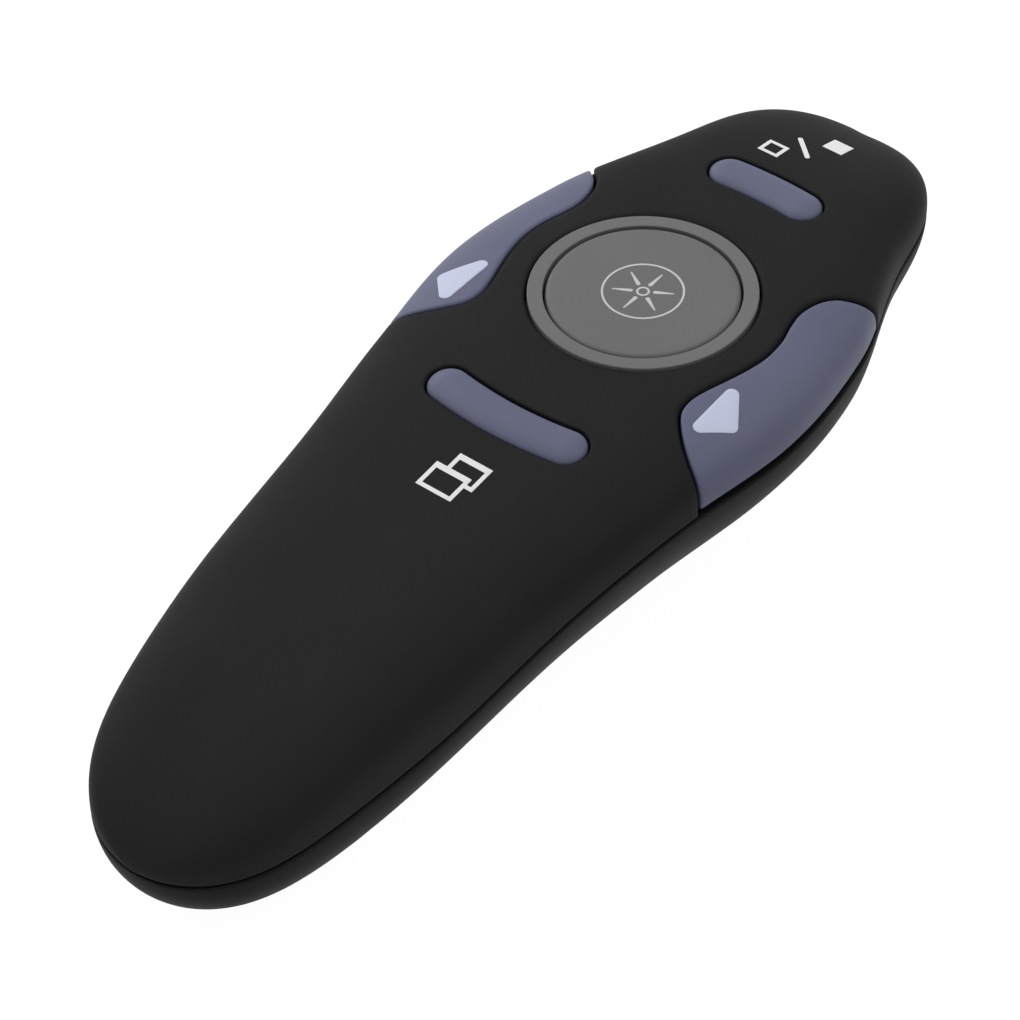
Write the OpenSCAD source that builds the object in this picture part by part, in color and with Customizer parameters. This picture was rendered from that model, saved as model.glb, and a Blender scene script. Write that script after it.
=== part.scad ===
// Wireless presentation clicker: a hand-held remote with a laser pointer.
// Frame: +Y towards the nose, +X to the right, +Z up, resting on z = 0. Millimetres.
// The housing is a loft: its half width, parting line, crown and belly are smooth curves along Y.

/* [Housing] */
// Overall length from tail to nose
body_length = 104; // [98:1:126]
// Wall thickness of both shells
wall = 1.7; // [1.2:0.1:2.1]
// Height of the ring's plane above the table
ring_height = 23.4; // [22.8:0.1:28.2]
// Gap between the two shells along the parting line
seam_gap = 0.2; // [0.1:0.05:0.4]

/* [Buttons] */
// Outer radius of the trim ring
ring_radius = 10.25; // [8.75:0.05:11.5]
// Width of the trim ring's visible rim
ring_rim = 1.2; // [1:0.1:2]
// Distance of the ring's centre from the nose
ring_from_nose = 35; // [33:0.5:37]
// Gap all round a moving button
button_gap = 0.4; // [0.25:0.05:0.5]
// How far a button travels when pressed
press_travel = 0.5; // [0.3:0.05:0.6]
// Half length of the long bent pill, between its cap centres
long_pill_half = 6.5; // [5:0.5:7.5]
// Half length of the short pill, between its cap centres
short_pill_half = 4; // [3:0.5:5]
// Half width of both pills
pill_half_width = 1.95; // [1.6:0.05:2.3]
// Radius that both pills bend to, round the ring
pill_bend = 41; // [34:1:60]

/* [Batteries] */
// Diameter of one cell
cell_diameter = 10.2; // [8.8:0.1:10.4]
// Length of one cell with its nub
cell_length = 44.2; // [37:0.2:45]
// Height of the cells' axes above the table
cell_height = 9.5; // [9.3:0.1:9.7]

/* [Laser] */
// Radius of the pointer's barrel
barrel_radius = 2.6; // [2:0.1:2.8]
// Radius of the nose window
window_radius = 2.9; // [2.4:0.1:3.2]

/* [Receiver] */
// Width of the receiver's cap
receiver_width = 14.4; // [12.8:0.2:15]
// Thickness of the receiver's cap
receiver_thickness = 6.2; // [5.2:0.1:6.4]
// Length of the receiver's cap
receiver_cap_length = 6.6; // [5:0.2:8]

/* [Power switch] */
// Travel of the power knob
power_travel = 2.5; // [1.5:0.1:3]

/* [Hidden] */

// Roundness of true cylinders, and the number of slices and section points of the loft
$fn = 48;
slices = 40;
arc_points = 18;
tiny = 0.02;
// A cut that runs right through, and a block wider than the housing
through_all = 60;
wide = 30;
// Gap round a trim piece that sits still in its hole
trim_gap = 0.1;

// Stations of the housing, evenly spaced from the tail to the nose.
half_widths = [16.5, 14.3, 14.4, 15.3, 17.3, 19.3, 18, 15, 17.8];
seam_heights = [7.5, 9.7, 12, 14.8, 17, 17.7, 17.7, 17.8, 17.8];
crown_heights = [7.9, 8.2, 8, 6.7, 5.9, 5.8, 5.9, 6.4, 6.2];
belly_depths = [13.5, 12.8, 13.5, 16.5, 18.5, 18.5, 17.8, 16, 13];
belly_fullness = [2, 2.05, 1.8, 1.6, 1.55, 1.6, 1.8, 1.75, 2.2];
crown_fullness = 4;
tail_roundness = 4;
nose_roundness = 4.5;
half_length = body_length / 2;
ring_y = half_length - ring_from_nose;
// Stations are drawn for a ring plane at 23.4, and everything but the rest plane moves with it.
lift = ring_height - 23.4;

// Smooth curve through evenly spaced values v, at u from -1 to 1 (cubic Hermite).
function slope_at(v, i) =
    i == 0 ? v[1] - v[0] :
    i == len(v) - 1 ? v[i] - v[i - 1] :
    (v[i + 1] - v[i - 1]) / 2;
function hermite(a, b, ma, mb, t) =
    a * (2 * t^3 - 3 * t^2 + 1) + b * (3 * t^2 - 2 * t^3) + ma * (t^3 - 2 * t^2 + t) + mb * (t^3 - t^2);
function station(v, u) =
    let (s = (u + 1) / 2 * (len(v) - 1))
    let (i = max(0, min(len(v) - 2, floor(s))))
    hermite(v[i], v[i + 1], slope_at(v, i), slope_at(v, i + 1), s - i);

// The housing at a place y along it, inset by t from its outside.
function along(y) = max(-1, min(1, y / half_length));
function end_round(y, t) =
    let (u = y / (half_length - t))
    sqrt(max(0, 1 - pow(abs(u), u < 0 ? tail_roundness : nose_roundness)));
function half_width(y, t = 0) = (station(half_widths, along(y)) - t) * end_round(y, t);
function seam_z(y) = station(seam_heights, along(y)) + lift;
function crown(y, t = 0) = (station(crown_heights, along(y)) - t) * end_round(y, t);
function belly(y, t = 0) = (station(belly_depths, along(y)) + lift - t) * end_round(y, t);
function top_z(x, y, t = 0) =
    let (r = min(1, abs(x) / half_width(y, t)))
    seam_z(y) + crown(y, t) * pow(1 - pow(r, crown_fullness), 1 / crown_fullness);
// Half width of the lower shell's flank at a height z below the parting line.
function flank(y, z, t = 0) =
    let (n = station(belly_fullness, along(y)))
    half_width(y, t) * pow(1 - pow((seam_z(y) - z) / belly(y, t), n), 1 / n);

// One half section: an arc from right to left, n is its fullness.
function arc_section(y, t, n, rise, z0) = [
    for (i = [0:arc_points])
        let (a = 180 * i / arc_points)
        [half_width(y, t) * sign(cos(a)) * pow(abs(cos(a)), 2 / n), y, z0 + rise * pow(sin(a), 2 / n)]];
// Slices bunch up towards both ends, where the outline turns quickly.
function slice_y(i, t) = -(half_length - t) * cos(3 + 174 * i / slices);

// A closed solid through rings that all have the same number of points.
module skin(rings) {
    n = len(rings[0]);
    m = len(rings);
    points = [for (ring = rings) each ring];
    sides = [for (j = [0:m - 2]) for (i = [0:n - 1])
        let (k = (i + 1) % n)
        each [[j * n + i, (j + 1) * n + k, j * n + k], [j * n + i, (j + 1) * n + i, (j + 1) * n + k]]];
    first = [for (i = [0:n - 1]) i];
    last = [for (i = [n - 1:-1:0]) (m - 1) * n + i];
    polyhedron(points, concat([first], sides, [last]), convexity = 8);
}

// The space above the parting line, inside the housing's surface inset by t.
module upper_form(t = 0, from_seam = 0) {
    skin([for (i = [slices:-1:0])
        let (y = slice_y(i, t), w = half_width(y, t), z0 = seam_z(y) + from_seam)
        concat(
            [[w, y, z0]],
            [for (p = arc_section(y, t, crown_fullness, crown(y, t), seam_z(y)))
                [p[0], y, max(p[2], z0 + tiny)]],
            [[-w, y, z0]])]);
}

// The space below the parting line, cut flat at floor_z.
module lower_form(t = 0, from_seam = 0, floor_z = 0) {
    skin([for (i = [0:slices])
        let (y = slice_y(i, t), w = half_width(y, t), z0 = seam_z(y) + from_seam)
        concat(
            [[w, y, z0]],
            [for (p = arc_section(y, t, station(belly_fullness, along(y)), -belly(y, t), seam_z(y)))
                [p[0], y, max(floor_z, min(p[2], z0 - tiny))]],
            [[-w, y, z0]])]);
}

module box(low, high) {
    translate(low) cube(high - low);
}

// Corners of a rounded rectangle, x half its width, from y0 to y1.
function rounded(x, y0, y1, r) = [
    for (corner = [[x - r, y1 - r, 0], [-x + r, y1 - r, 90], [-x + r, y0 + r, 180], [x - r, y0 + r, 270]])
        for (a = [0:22.5:90])
            [corner[0] + r * cos(corner[2] + a), corner[1] + r * sin(corner[2] + a)]];

// ---------- Buttons ----------

// Smooth line through hand-chosen points (Catmull-Rom).
function through(p, steps = 3) = [
    for (i = [0:len(p) - 2]) for (s = [0:steps - 1])
        let (a = p[max(0, i - 1)], b = p[i], c = p[i + 1], d = p[min(len(p) - 1, i + 2)])
        hermite(b, c, (c - a) / 2, (d - b) / 2, s / steps),
    p[len(p) - 1]];
// The same line moved sideways by d, to its left.
function beside(p, d) = [
    for (i = [0:len(p) - 1])
        let (v = p[min(len(p) - 1, i + 1)] - p[max(0, i - 1)])
        p[i] + d * [-v[1], v[0]] / norm(v)];

// Inner edge of the right wing, from its front tip to its rear tip, from the ring's centre.
wing_edge = [[17.6, 17.5], [16.7, 15.4], [16.05, 13.9], [15.65, 12.7], [14.8, 11.75], [13.55, 10.55],
             [12.7, 9.1], [12.3, 7.4], [12.3, 6], [12.65, 4.35], [13.15, 2.5], [13.35, 0.1],
             [13.05, -2.15], [12.5, -4.3], [11.85, -6.45], [11.5, -8], [11.5, -9.2], [11.8, -10.3],
             [12.7, -11.5], [14.4, -13.1], [16.4, -14.4], [18.2, -15], [20.5, -15.3]];
// The edge follows the ring's size, so that the band between ring and wing stays as wide.
function wing_line(grow) = [
    for (p = beside(through(wing_edge), -grow)) p + [ring_radius - 10.25, ring_y]];

module wing_outline(grow) {
    polygon(concat(wing_line(grow), [[26, ring_y - 16], [26, ring_y + 18]]));
}

// A pill's outline bends round the ring. side is 1 ahead of it and -1 behind it.
function pill_outline(half, grow, side) =
    let (w = pill_half_width + grow, turn = asin(half / pill_bend), n = 10, caps = 6)
    let (strip = concat(
        [for (i = [0:n]) let (a = -turn + 2 * turn * i / n) (pill_bend + w) * [sin(a), cos(a)]],
        [for (i = [1:caps - 1]) let (a = 180 * i / caps)
            pill_bend * [sin(turn), cos(turn)] + w * [sin(turn + a), cos(turn + a)]],
        [for (i = [0:n]) let (a = turn - 2 * turn * i / n) (pill_bend - w) * [sin(a), cos(a)]],
        [for (i = [1:caps - 1]) let (a = 180 * i / caps)
            -pill_bend * [sin(turn), -cos(turn)] + w * [-sin(turn + 180 - a), cos(turn + 180 - a)]]))
    let (last = len(strip) - 1)
    [for (i = [0:last])
        let (p = strip[side > 0 ? last - i : i])
        [p[0], side * (p[1] - pill_bend)]];
long_pill_y = ring_y - ring_radius - 9.5;
short_pill_y = ring_y + ring_radius + 8.15;
// Heights of the pressed stack: board, switch, and the flange under the shell.
board_bottom = ring_height - 7.8;
board_thickness = 1;
board_top = board_bottom + board_thickness;
// Each button's post stands in the well of its switch, over the dome.
switch_size = 3.6;
switch_top = board_top + 1.7;
dome_top = board_top + 0.4;
post_radius = 1.1;
post_gap = 0.3;
post_bottom = dome_top + press_travel + 0.1;
module post(top) {
    translate([0, 0, post_bottom]) cylinder(r = post_radius, h = top - post_bottom);
}
// A pill's flange stays below the lowest point of the crown's inside over it.
pill_flange = 0.8;
function flange_top(half, y) =
    let (x = half + pill_half_width + pill_flange)
    min([for (dy = [-1, 1]) top_z(x, y + dy * (pill_half_width + pill_flange), wall)]) - 0.15;

// The cap follows the crown and stands proud of it, on a flat flange.
module pill_button(half, side, y0) {
    flange = flange_top(half, y0);
    flange_thickness = 0.8;
    proud = 0.45;
    // Rings of the cap: growth of the outline, and height above the crown
    domed = [[0, -proud], [0, 0], [-0.25, 0.25], [-0.7, proud]];
    foot = [for (p = pill_outline(half, 0, side)) [p[0], p[1], flange - flange_thickness / 2]];
    cap = [for (step = domed)
        [for (p = pill_outline(half, step[0], side)) [p[0], p[1], top_z(p[0], p[1] + y0) + step[1]]]];
    translate([0, y0]) {
        skin(concat([foot], cap));
        translate([0, 0, flange - flange_thickness])
            linear_extrude(flange_thickness) polygon(pill_outline(half, pill_flange, side));
        post(flange - flange_thickness / 2);
    }
}

ring_groove = 0.25;
rim_bevel = 0.3;
rim_inner = ring_radius - ring_rim;
button_radius = rim_inner - ring_groove;
bezel_top = ring_height + 0.15;
bezel_flange = 0.8;
bezel_flange_top = ring_height - 1.9;
bezel_flange_radius = ring_radius + 1.4;
// The ring's skirt hangs round the round button's flange.
skirt_radius = ring_radius - 0.4;
rim_bottom = bezel_flange_top - 0.1;
key_flange = 0.9;
key_gap = 0.2;

module ring_bezel() {
    skirt_bottom = rim_bottom - bezel_flange;
    color([0.43, 0.43, 0.44]) translate([0, ring_y]) rotate_extrude($fn = 96) polygon([
        [rim_inner, rim_bottom],
        [skirt_radius, rim_bottom],
        [skirt_radius, skirt_bottom],
        [bezel_flange_radius, skirt_bottom],
        [bezel_flange_radius, bezel_flange_top],
        [ring_radius, bezel_flange_top],
        [ring_radius, bezel_top - rim_bevel],
        [ring_radius - rim_bevel, bezel_top],
        [rim_inner + rim_bevel, bezel_top],
        [rim_inner, bezel_top - rim_bevel]]);
}

module laser_button() {
    top = ring_height - 0.1;
    flange_top = rim_bottom - key_gap;
    flange_radius = skirt_radius - key_gap;
    color([0.42, 0.42, 0.43]) translate([0, ring_y]) {
        rotate_extrude($fn = 96) polygon([
            [0, flange_top - key_flange],
            [flange_radius, flange_top - key_flange],
            [flange_radius, flange_top],
            [button_radius, flange_top],
            [button_radius, top - rim_bevel],
            [button_radius - rim_bevel, top],
            [0, top]]);
        post(flange_top - key_flange / 2);
    }
}

wing_lift = press_travel + 0.3;
wing_wall = 1.4;
wing_switch = [ring_radius + 3.85, ring_y - 7];

// Right-hand wing: a piece of the housing's own skin, with a post over its switch.
module wing_button() {
    intersection() {
        difference() {
            upper_form(0, wing_lift);
            upper_form(wing_wall, -1);
        }
        linear_extrude(through_all) wing_outline(-button_gap);
    }
    translate(wing_switch) post(top_z(wing_switch[0], wing_switch[1], wing_wall) + wing_wall / 3);
}

module next_button() {
    color([0.42, 0.42, 0.49]) wing_button();
}

module previous_button() {
    color([0.42, 0.42, 0.49]) mirror([1, 0, 0]) wing_button();
}

module blank_button() {
    color([0.42, 0.42, 0.49]) pill_button(short_pill_half, 1, short_pill_y);
}

module window_button() {
    color([0.42, 0.42, 0.49]) pill_button(long_pill_half, -1, long_pill_y);
}

// ---------- Places inside the housing ----------

cell_radius = cell_diameter / 2;
cell_gap = 0.3;
cell_x = cell_radius + cell_gap / 2;
// The cells rise with the parting line, so that they stay where the handle is wide.
cell_z = cell_height + 0.4 * lift;
spring_length = 3.5;
bay_rear = -37;
bay_front = bay_rear + cell_length + spring_length;
contact_thickness = 0.4;
cell_wall = 1.2;
screw_radius = 0.95;
screw_head_radius = 1.9;
screw_head_height = 1.4;
screw_gap = 0.2;
// Undersides of the screw heads' seats, and the front screws' tips
screw_seat = board_bottom - 4.5;
tail_screw_seat = 2.6;
screw_tip = ring_height - 3.6;
front_screw = [9.6, half_length - 16.5];
tail_screw = [0, -half_length + 8];
tail_screw_tip = seam_z(tail_screw[1]) + 2.6;
boss_radius = 2.4;
board_rear = ring_y - 23;
board_front = half_length - 13.4;
laser_z = ring_height - 6.7;
laser_rear = half_length - 11.1;
window_rear = half_length - 3.2;
barrel_length = window_rear - 0.3 - laser_rear;
cover_half = cell_x + cell_radius + 0.7;
cover_gap = 0.25;
cover_rear = bay_rear - 1.1;
cover_front = bay_front - 1.6;
// Door hinge: a roll with a pin at each end, between two lugs of the lower shell
hinge_y = bay_front - 0.1;
hinge_z = 2.2;
hinge_roll = 1.05;
hinge_half = 6;
hinge_pin_radius = 0.5;
pin_span = 2 * hinge_half + 2.8;
pin_gap = 0.05;
lug_width = 2.2;
lug_height = 3.6;
plug_width = 12;
plug_thickness = 4.5;
plug_length = 11.4;
dock_gap = 0.2;
dock_rear = bay_front + 3.4;
dock_front = dock_rear + plug_length + receiver_cap_length + 2 * dock_gap;
dock_half = receiver_width / 2 + dock_gap;
dock_bottom = 0.6;
dock_top = dock_bottom + receiver_thickness + 0.3;
dock_wall = 1.2;
power_y = ring_y + 1.5;
power_z = ring_height - 10;
knob_length = 4.6;
knob_height = 1.9;
knob_flange = 0.6;
power_slot = [knob_length + power_travel + 0.5, knob_height + 0.5];

module at_screws() {
    for (side = [-1, 1]) translate([side * front_screw[0], front_screw[1], 0]) children();
}

module at_tail_screw() {
    translate([tail_screw[0], tail_screw[1], 0]) children();
}

module at_window() {
    translate([0, window_rear, laser_z]) rotate([-90, 0, 0]) children();
}

module at_hinge() {
    translate([0, hinge_y, hinge_z]) rotate([0, 90, 0]) children();
}

module cover_outline(inset) {
    polygon(rounded(cover_half - inset, cover_rear + inset, cover_front - inset, 2.5));
}

// ---------- Shells ----------

module upper_shell() {
    tail_seam = seam_z(tail_screw[1]);
    color([0.17, 0.17, 0.17]) difference() {
        intersection() {
            upper_form(0, seam_gap / 2);
            union() {
                difference() {
                    box([-wide, -through_all, 0], [wide, through_all, through_all]);
                    upper_form(wall, -1);
                }
                at_screws() translate([0, 0, board_top + 0.1]) cylinder(r = boss_radius, h = 20);
                at_tail_screw() translate([0, 0, tail_seam + 0.2]) cylinder(r = boss_radius, h = 20);
            }
        }
        // Ring, with room below for its flange
        translate([0, ring_y, 0]) {
            cylinder(r = ring_radius + trim_gap, h = through_all, $fn = 96);
            cylinder(r = bezel_flange_radius + 2 * trim_gap, h = bezel_flange_top + trim_gap);
        }
        // Pills and wings
        translate([0, long_pill_y])
            linear_extrude(through_all) polygon(pill_outline(long_pill_half, button_gap, -1));
        translate([0, short_pill_y])
            linear_extrude(through_all) polygon(pill_outline(short_pill_half, button_gap, 1));
        for (side = [0, 1]) mirror([side, 0, 0]) linear_extrude(through_all) wing_outline(0);
        // Blind screw holes, and the nose window
        at_screws() cylinder(r = screw_radius, h = screw_tip + 0.4);
        at_tail_screw() cylinder(r = screw_radius, h = tail_screw_tip + 0.4);
        at_window() cylinder(r = window_radius + trim_gap, h = 10);
    }
}

// Screw towers, end walls, ledges, hinge lugs and the dock's box, trimmed later to the housing.
module lower_ribs() {
    rear_wall = bay_rear - contact_thickness;
    front_wall = bay_front + contact_thickness;
    ledge = [13.6, board_rear + 0.6];
    at_screws() cylinder(r = boss_radius, h = board_bottom);
    at_tail_screw() cylinder(r = boss_radius, h = seam_z(tail_screw[1]) - 0.2);
    box([-wide, rear_wall - cell_wall, 0], [wide, rear_wall, seam_z(bay_rear) - 0.3]);
    box([-wide, front_wall, lug_height + 0.4], [wide, front_wall + cell_wall, board_bottom - 0.4]);
    for (side = [-1, 1]) {
        translate([side * ledge[0], ledge[1], board_bottom - 3])
            box([-3, 0, 0], [3, 1.8, 3]);
        translate([side * (hinge_half + cover_gap + lug_width / 2), 0, 0])
            box([-lug_width / 2, bay_front - 1.5, 0], [lug_width / 2, bay_front + 1.3, lug_height]);
    }
    box([-dock_half - dock_wall, dock_rear - dock_wall, 0],
        [dock_half + dock_wall, dock_front + dock_wall, dock_top + dock_wall]);
}

// A low faired plinth round the dock gives the front its flat, wide rest.
module dock_plinth() {
    flare = 2.6;
    corner = 1.5;
    skin([for (step = [[0, 0], [0.4 * flare, 2], [flare, 4.6]])
        let (out = dock_wall + step[0])
        [for (p = rounded(dock_half + out, dock_rear - out, dock_front + out, corner + step[0]))
            [p[0], p[1], step[1]]]]);
}

module lower_shell() {
    color([0.14, 0.14, 0.14]) difference() {
        intersection() {
            union() {
                lower_form(0, -seam_gap / 2);
                dock_plinth();
            }
            union() {
                difference() {
                    box([-wide, -through_all, -1], [wide, through_all, through_all]);
                    lower_form(wall, 1, wall);
                }
                lower_ribs();
            }
        }
        // Door opening, and the notch and pin holes for its hinge
        translate([0, 0, -5]) linear_extrude(cell_z + 4) cover_outline(0);
        box([-hinge_half - cover_gap, cover_front - 1.5, -1],
            [hinge_half + cover_gap, hinge_y + hinge_roll + 0.3, lug_height]);
        at_hinge() cylinder(r = hinge_pin_radius + pin_gap, h = pin_span + 0.2, center = true);
        // The receiver's dock, open below, with a nail notch ahead of it
        box([-dock_half, dock_rear, -1], [dock_half, dock_front, dock_top]);
        translate([0, dock_front, -1]) cylinder(r = 2.4, h = 2.7);
        // Screws
        at_screws() {
            cylinder(r = screw_radius + screw_gap, h = through_all);
            cylinder(r = screw_head_radius + screw_gap, h = screw_seat);
        }
        at_tail_screw() {
            cylinder(r = screw_radius + screw_gap, h = through_all);
            cylinder(r = screw_head_radius + screw_gap, h = tail_screw_seat);
        }
        // Nose window and power switch
        at_window() cylinder(r = window_radius + trim_gap, h = 10);
        translate([-20, power_y, power_z])
            box([0, -power_slot[0] / 2, -power_slot[1] / 2], [12, power_slot[0] / 2, power_slot[1] / 2]);
    }
}

module battery_cover() {
    thickness = 1.5;
    low = 0.35;
    tongue_low = hinge_z - hinge_roll;
    groove = [10, 0.8, 0.4];
    groove_pitch = 1.6;
    color([0.14, 0.14, 0.14]) difference() {
        union() {
            intersection() {
                difference() {
                    lower_form(0, 0, low);
                    lower_form(thickness, 1, low + thickness);
                }
                linear_extrude(cell_z - 1.5) cover_outline(cover_gap);
            }
            // Tongue that reaches the hinge, and the roll with its pins
            box([-hinge_half, cover_front - 1.5, tongue_low],
                [hinge_half, hinge_y, tongue_low + thickness]);
            at_hinge() {
                cylinder(r = hinge_roll, h = 2 * hinge_half, center = true);
                cylinder(r = hinge_pin_radius, h = pin_span, center = true);
            }
        }
        // Thumb grooves at the tail end
        for (i = [0:3])
            translate([-groove[0] / 2, cover_rear + 3 + groove_pitch * i, low - tiny]) cube(groove);
    }
}

// ---------- Power ----------

// A cell along +Y from its flat end, with its nub at the far end.
module cell() {
    nub = 0.9;
    rotate([-90, 0, 0]) {
        cylinder(r = cell_radius, h = cell_length - nub);
        cylinder(r = 1.9, h = cell_length);
    }
}

module cell_left() {
    color([0.75, 0.6, 0.25])
        translate([-cell_x, bay_front - cell_length, cell_z]) cell();
}

module cell_right() {
    color([0.75, 0.6, 0.25])
        translate([cell_x, bay_rear + cell_length, cell_z]) rotate([0, 0, 180]) cell();
}

spring_wire = 0.3;
spring_radius = 2.8;
spring_turns = 3;

// A coil spring along +Y, swept as rings round its wire.
module coil_spring() {
    sides = 8;
    per_turn = 12;
    rise = (spring_length - 2 * tiny - 2 * spring_wire) / spring_turns;
    skin([for (k = [0:spring_turns * per_turn])
        let (a = 360 * k / per_turn, out = [cos(a), 0, sin(a)])
        let (centre = spring_radius * out + [0, tiny + spring_wire + rise * k / per_turn, 0])
        [for (i = [0:sides - 1])
            let (b = 360 * i / sides)
            centre + spring_wire * (cos(b) * out + [0, sin(b), 0])]]);
}

module tail_spring() {
    color([0.8, 0.8, 0.8]) translate([-cell_x, bay_rear, cell_z]) coil_spring();
}

module front_spring() {
    color([0.8, 0.8, 0.8]) translate([cell_x, bay_front - spring_length, cell_z]) coil_spring();
}

// Sheet-metal contacts: a plate behind each cell end
contact_half = 3.2;
module contact_plate(x_low, x_high, y) {
    box([x_low - contact_half, y, cell_z - contact_half],
        [x_high + contact_half, y + contact_thickness, cell_z + contact_half]);
}

module bridge_contact() {
    color([0.78, 0.78, 0.76]) contact_plate(-cell_x, cell_x, bay_rear - contact_thickness);
}

// The front contacts have tails that run up to the board.
module front_contact(side) {
    tail_half = 0.8;
    color([0.78, 0.78, 0.76]) translate([side * cell_x, 0, 0]) {
        contact_plate(0, 0, bay_front);
        box([-tail_half, bay_front, cell_z], [tail_half, bay_front + contact_thickness, board_bottom]);
    }
}

module positive_contact() {
    front_contact(-1);
}

module negative_contact() {
    front_contact(1);
}

// ---------- Electronics ----------

module main_board() {
    margin = wall + 1.1;
    steps = 10;
    edge = [for (i = [0:steps])
        let (y = board_rear + (board_front - board_rear) * i / steps) [half_width(y, 0) - margin, y]];
    left = [for (i = [steps:-1:0]) [-edge[i][0], edge[i][1]]];
    color([0.05, 0.3, 0.15]) difference() {
        translate([0, 0, board_bottom]) linear_extrude(board_thickness) polygon(concat(edge, left));
        at_screws() cylinder(r = screw_radius + 0.2, h = 40);
    }
}

// A square switch with the well that its button's post stands in.
module tact_switch() {
    difference() {
        translate([-switch_size / 2, -switch_size / 2, board_top])
            cube([switch_size, switch_size, switch_top - board_top]);
        translate([0, 0, dome_top]) cylinder(r = post_radius + post_gap, h = through_all);
    }
}

module tact_switches() {
    color([0.2, 0.2, 0.22])
        for (place = [[0, ring_y], [0, long_pill_y], [0, short_pill_y],
                      wing_switch, [-wing_switch[0], wing_switch[1]]])
            translate(place) tact_switch();
}

module radio_chip() {
    color([0.1, 0.1, 0.1]) translate([-7.5, ring_y - 15, board_top]) cube([5, 5, 0.9]);
}

module crystal() {
    color([0.8, 0.8, 0.8]) translate([3.5, ring_y - 14, board_top]) cube([3.2, 2.5, 0.8]);
}

// Meandered copper aerial: rungs joined at alternate ends.
module antenna() {
    rungs = 5;
    pitch = 1.2;
    width = 0.6;
    length = 4;
    foil = 0.1;
    color([0.8, 0.5, 0.25]) translate([-6, short_pill_y - switch_size / 2 - 0.6 - length, board_top]) {
        for (i = [0:rungs - 1]) translate([i * pitch, 0, 0]) cube([width, length, foil]);
        for (i = [0:rungs - 2])
            translate([i * pitch, i % 2 == 0 ? length - width : 0, 0]) cube([pitch + width, width, foil]);
    }
}

// The knob's flange runs behind the flank's wall, and the switch body sits behind that.
knob_back = min([for (end = [-1, 1])
    flank(power_y + end * power_slot[0] / 2, power_z - knob_height / 2 - knob_flange, wall)]) - 1;

module slide_switch() {
    depth = 2.9;
    half = [4.2, 1.7];
    front = -knob_back + 0.1;
    color([0.7, 0.7, 0.7])
        box([front, power_y - half[0], power_z - half[1]],
            [front + depth, power_y + half[0], board_bottom]);
}

// Knob at its rear (off) stop; it slides forward by the travel.
module power_knob() {
    centre = power_y - power_travel / 2;
    face = flank(centre, power_z, 0) + 0.3;
    half = [knob_length / 2, knob_height / 2];
    flange_thickness = 0.7;
    groove = [0.4, 0.6, knob_height + 1];
    groove_pitch = 1.2;
    color([0.25, 0.25, 0.26]) translate([0, centre, power_z]) difference() {
        union() {
            box([-face, -half[0], -half[1]], [-knob_back, half[0], half[1]]);
            box([-knob_back - flange_thickness, -half[0] - knob_flange, -half[1] - knob_flange],
                [-knob_back, half[0] + knob_flange, half[1] + knob_flange]);
        }
        for (i = [-1:1]) translate([-face, groove_pitch * i, 0]) cube(groove, center = true);
    }
}

// ---------- Laser pointer ----------

// The barrel holds the diode at its rear end and the lens at its front end.
diode_step = 0.8;
lens_seat = 2;

module at_laser(ahead) {
    translate([0, laser_rear + ahead, laser_z]) rotate([-90, 0, 0]) children();
}

module laser_barrel() {
    bore = 1.1;
    color([0.75, 0.6, 0.3]) at_laser(0) difference() {
        cylinder(r = barrel_radius, h = barrel_length);
        translate([0, 0, -1]) cylinder(r = barrel_radius - 0.7, h = 1 + diode_step + 2.2);
        cylinder(r = bore, h = barrel_length);
        translate([0, 0, barrel_length - lens_seat]) cylinder(r = barrel_radius - 0.5, h = lens_seat + 1);
    }
}

module laser_lens() {
    color([0.8, 0.9, 1]) at_laser(barrel_length - lens_seat + 0.1)
        cylinder(r = barrel_radius - 0.55, h = 1);
}

// A can with a wider flange
module laser_diode() {
    color([0.8, 0.7, 0.4]) at_laser(diode_step) {
        cylinder(r = barrel_radius - 0.75, h = 0.8);
        cylinder(r = 1, h = 2.1);
    }
}

module laser_board() {
    half = 2.2;
    thickness = 0.8;
    color([0.05, 0.3, 0.15])
        box([-half, board_front - 1.1, board_top], [half, laser_rear - 0.2, board_top + thickness]);
}

module laser_window() {
    recess = 0.25;
    color([0.3, 0.02, 0.03]) intersection() {
        translate([0, trim_gap, 0]) at_window() cylinder(r = window_radius, h = 10);
        union() {
            upper_form(recess, -0.5);
            lower_form(recess, 0.5);
        }
    }
}

// ---------- USB receiver, stored belly down in its dock ----------

cap_rear = dock_rear + dock_gap + plug_length;
cap_front = cap_rear + receiver_cap_length;
plug_z = dock_bottom + receiver_thickness / 2;
plug_half = [plug_width / 2, plug_thickness / 2];
plug_wall = 0.3;
plug_root = 3;
plug_gap = 0.05;

// Hollow for the plug's root, and grip grooves on the underside
module receiver_cap() {
    half = receiver_width / 2;
    groove = [receiver_width - 6, 0.7, 0.3];
    groove_pitch = 1.5;
    color([0.1, 0.1, 0.1]) difference() {
        box([-half, cap_rear, dock_bottom], [half, cap_front, dock_bottom + receiver_thickness]);
        box([-plug_half[0] - plug_gap, cap_rear - 1, plug_z - plug_half[1] - plug_gap],
            [plug_half[0] + plug_gap, cap_front - 1, plug_z + plug_half[1] + plug_gap]);
        for (i = [0:2])
            translate([-groove[0] / 2, cap_rear + 1.4 + groove_pitch * i, dock_bottom - tiny]) cube(groove);
    }
}

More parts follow.
